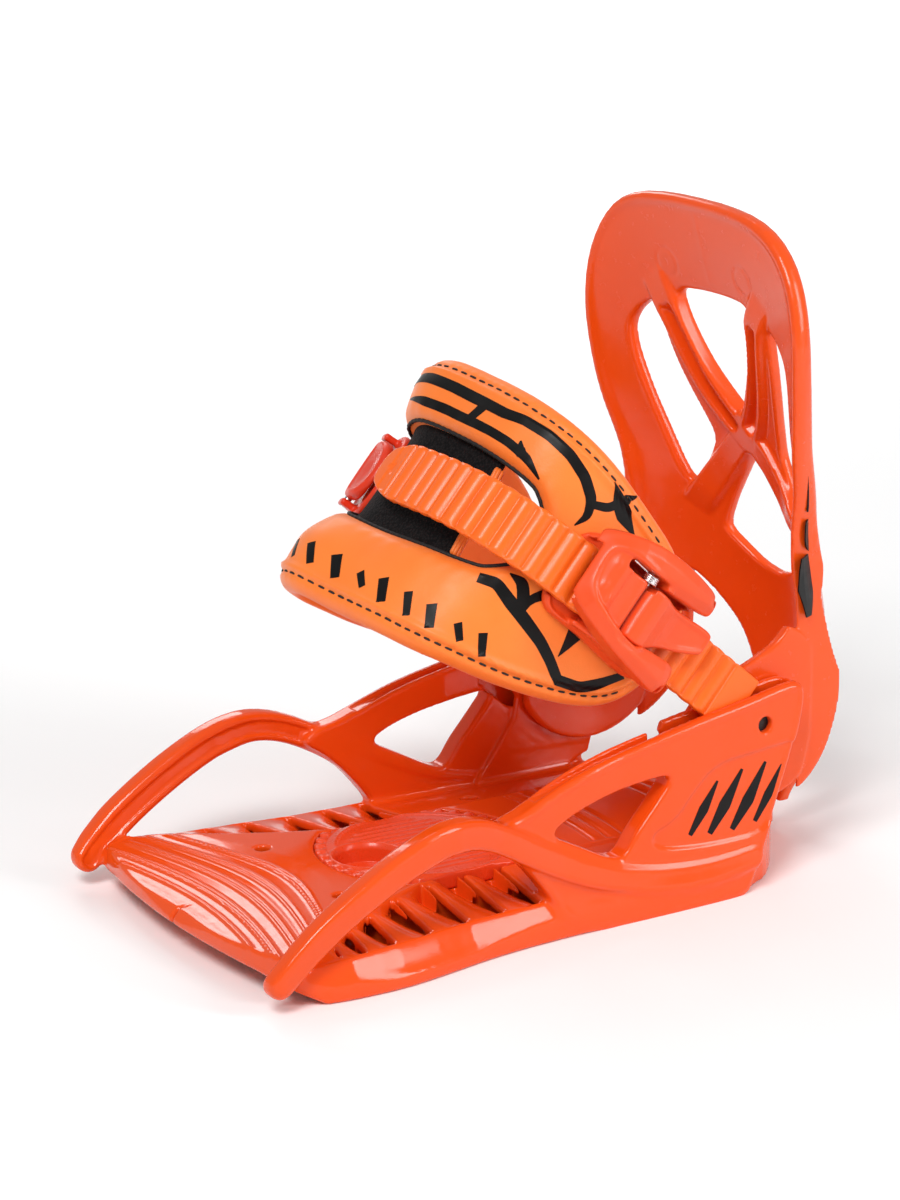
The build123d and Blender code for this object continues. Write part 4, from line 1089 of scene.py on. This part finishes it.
# ------------------------------------------------------------------ printed stripes
def printed(name, strokes, place):
    """Flat strokes, each a list of (a, b, half width), that place(a, b, height) lays on a surface."""
    vertices, faces = [], []
    across = np.linspace(-1, 1, 5)
    for stroke in strokes:
        a, b, half = np.array(stroke, float).T
        run = np.concatenate([[0], np.cumsum(np.hypot(np.diff(a), np.diff(b)))])
        t = np.linspace(0, run[-1], max(int(run[-1] / 0.7), 6))
        a, b, half = np.interp(t, run, a), np.interp(t, run, b), np.interp(t, run, half)
        if t.size > 12:
            kernel = np.ones(5) / 5
            a, b = (np.concatenate([w[:2], np.convolve(w, kernel, mode="valid"), w[-2:]]) for w in (a, b))
        da, db = np.gradient(a), np.gradient(b)
        length = np.hypot(da, db) + 1e-9
        aa = a[:, None] - across[None] * (half * db / length)[:, None]
        bb = b[:, None] + across[None] * (half * da / length)[:, None]
        first, rows, wide = len(vertices), len(a), len(across)
        top, bottom = (place(aa.ravel(), bb.ravel(), height) for height in (PRINT_RISE, -PRINT_SINK))
        vertices += top.tolist() + bottom.tolist()
        under = first + rows * wide
        for i in range(rows - 1):
            for k in range(wide - 1):
                p = i * wide + k
                faces.append((first + p, first + p + 1, first + p + wide + 1, first + p + wide))
                faces.append((under + p, under + p + wide, under + p + wide + 1, under + p + 1))
            p, q = i * wide, i * wide + wide - 1
            faces.append((first + p, first + p + wide, under + p + wide, under + p))
            faces.append((first + q, under + q, under + q + wide, first + q + wide))
        for k in range(wide - 1):
            q = (rows - 1) * wide + k
            faces.append((first + k, under + k, under + k + 1, first + k + 1))
            faces.append((first + q, first + q + 1, under + q + 1, under + q))
    return linked_mesh(name, vertices, faces, False)


def ink(name):
    """Black screen print: slightly glossy, faintly uneven cover."""
    material, tree, shader = new_material(name)
    vector = coordinates(tree, (1, 1, 1))
    colour = ramp(tree, noise(tree, vector, 120.0, 4.0),
                  [(0.3, (0.002, 0.002, 0.002)), (0.75, (0.006, 0.005, 0.005))])
    tree.links.new(colour, shader.inputs["Base Color"])
    gloss = ramp(tree, noise(tree, vector, 300.0, 3.0), [(0.3, (0.34,) * 3), (0.75, (0.46,) * 3)])
    tree.links.new(gloss, shader.inputs["Roughness"])
    shader.inputs["Specular IOR Level"].default_value = 0.2
    bump(tree, shader, noise(tree, vector, 1500.0, 2.0), 0.05, 0.0001)
    return material


def on_pad_face(s, v, o):
    return on_pad(s, v, pad_top(s, v) + o)


def on_highback_face(y, z, o):
    h = 0.5
    x = highback_inner_x(y, z)
    gy = (highback_inner_x(y + h, z) - highback_inner_x(y - h, z)) / (2 * h)
    gz = (highback_inner_x(y, z + h) - highback_inner_x(y, z - h)) / (2 * h)
    length = np.sqrt(1 + gy * gy + gz * gz)
    reach = HIGHBACK_SKIN + o
    return np.stack([x + reach / length, y - gy * reach / length, z - gz * reach / length], axis=-1)


def on_heel_wall(x, z, o):
    return np.stack([x, np.full(x.size, -(54.1 + o)), z], axis=-1)


mat_ink = ink("black_print")
pad_strokes = [
    [(200, 28.0, 1.4), (187, 30.4, 1.6), (176, 31.0, 1.8), (164, 31.0, 1.8), (152, 30.4, 1.8),
     (139, 29.8, 1.7), (131, 30.6, 1.6), (119.5, 30.2, 1.6), (109.3, 28.6, 1.7), (101, 25.6, 1.8),
     (95, 21.4, 1.8), (93, 16.6, 1.4), (94.9, 12.0, 0.2)],
    [(206, 20.5, 0.3), (198, 24.5, 1.6), (192, 29.5, 0.3)],
    [(186, 23.6, 0.2), (174, 23.6, 1.4), (163, 23.8, 1.5), (152, 23.4, 1.5), (140.5, 23.0, 1.4),
     (131.5, 22.4, 1.4), (122, 20.8, 1.4), (114, 17.4, 0.3)],
    [(147.7, 31.0, 2.2), (149.4, 27.0, 1.8), (152.0, 23.0, 1.6)],
    [(127.8, 24.6, 0.3), (126.2, 21.8, 2.0), (121.0, 20.4, 0.4)],
    [(91.5, 30.0, 0.2), (86, 25.6, 2.4), (82.5, 23.6, 2.6), (75.0, 20.6, 0.2)],
    [(94.6, 20.0, 1.2), (88.5, 22.4, 1.4), (85.0, 27.6, 1.6), (81.0, 31.2, 0.2)],
    [(112.5, -17.4, 1.6), (106, -15.8, 1.8), (98.5, -18.2, 2.1), (91.3, -20.0, 2.1), (82.3, -22.4, 1.9),
     (76, -25.0, 1.8), (69, -28.6, 1.7)],
    [(70, -28.4, 1.7), (61.3, -26.0, 1.7), (55.5, -21.0, 1.6), (49.5, -14.4, 1.2)],
    [(73.6, -14.2, 2.8), (73.8, -18.5, 1.4), (74.2, -22.6, 0.1)],
    [(104, -11.0, 0.2), (98.5, -11.4, 2.0), (95.2, -15.4, 2.2), (92.4, -21.0, 0.2)],
    [(90.5, -10.4, 1.6), (93.5, -14.0, 1.4), (93.0, -18.6, 0.2)],
]
for place, low, high, half in ((182, -38.6, -33.0, 1.0), (173, -38.4, -32.4, 1.5), (162, -38.8, -32.2, 1.9),
                               (150, -37.4, -33.6, 1.4), (140, -38.8, -32.0, 1.9), (129, -38.6, -32.0, 1.5),
                               (119, -38.2, -31.6, 1.9), (107.5, -36.4, -32.2, 1.4),
                               (98.5, -36.4, -30.4, 1.5)):
    pad_strokes.append([(place + 2.0, high, half), (place - 2.0, low, half * 0.85)])
pad_print = printed("pad_print", pad_strokes, on_pad_face)
finish_piece(pad_print, "strap", mat_ink, "lining")

def mirrored(stroke):
    return [(-y, z, half) for y, z, half in stroke]


ear_stroke = [(43.8, 116, 1.0), (41.8, 108, 1.8), (36, 100, 1.4), (27, 101, 1.8), (22.6, 96, 0.3)]
brow_half = [(38, 96, 0.3), (33, 91, 1.8), (24, 90.5, 1.6), (19.5, 84, 1.6), (12, 79, 1.8)]
highback_strokes = [
    [(-50.4, 176, 0.3), (-50.4, 166, 1.4), (-49.0, 152, 0.4)],
    [(-47.2, 146, 0.3), (-46.4, 132, 1.5), (-44.6, 119, 0.4)],
    mirrored(ear_stroke),
    [(-43.2, 104, 1.2), (-42.6, 94, 2.0), (-42.6, 84, 0.6)],
    mirrored(brow_half) + [(0, 77.5, 1.6)] + brow_half[::-1],
    ear_stroke,
    [(-28, 197, 0.3), (-14, 192, 1.8), (2, 197, 1.6), (16, 190, 1.8), (30, 196, 0.3)],
]
highback_print = printed("highback_print", highback_strokes, on_highback_face)
finish_piece(highback_print, "highback", mat_ink, "highback_plastic")

wall_strokes = [
    [(63.5, 23.5, 0.8), (68.5, 31.0, 1.9), (73.6, 39.4, 0.4)],
    [(71.0, 22.6, 1.0), (76.6, 31.0, 2.3), (83.0, 41.6, 0.5)],
    [(79.6, 22.4, 1.0), (85.6, 31.0, 2.3), (92.0, 42.4, 0.5)],
    [(88.4, 23.4, 0.8), (93.4, 31.4, 1.7), (98.4, 40.4, 0.4)],
]
wall_print = printed("wall_print", wall_strokes, on_heel_wall)
finish_piece(wall_print, "base", mat_ink, "base_plastic")

studio_floor = linked_mesh("floor", [(-6000, -6000, 0), (6000, -6000, 0), (6000, 6000, 0), (-6000, 6000, 0)],
                           [(0, 1, 2, 3)], False)
mat_floor, floor_tree, floor_shader = new_material("studio_floor")
floor_colour = ramp(floor_tree, noise(floor_tree, coordinates(floor_tree, (1, 1, 1)), 3.0),
                    [(0.3, (0.97, 0.97, 0.97)), (0.7, (0.98, 0.98, 0.98))])
floor_tree.links.new(floor_colour, floor_shader.inputs["Base Color"])
floor_shader.inputs["Roughness"].default_value = 0.75
studio_floor.data.materials.append(mat_floor)
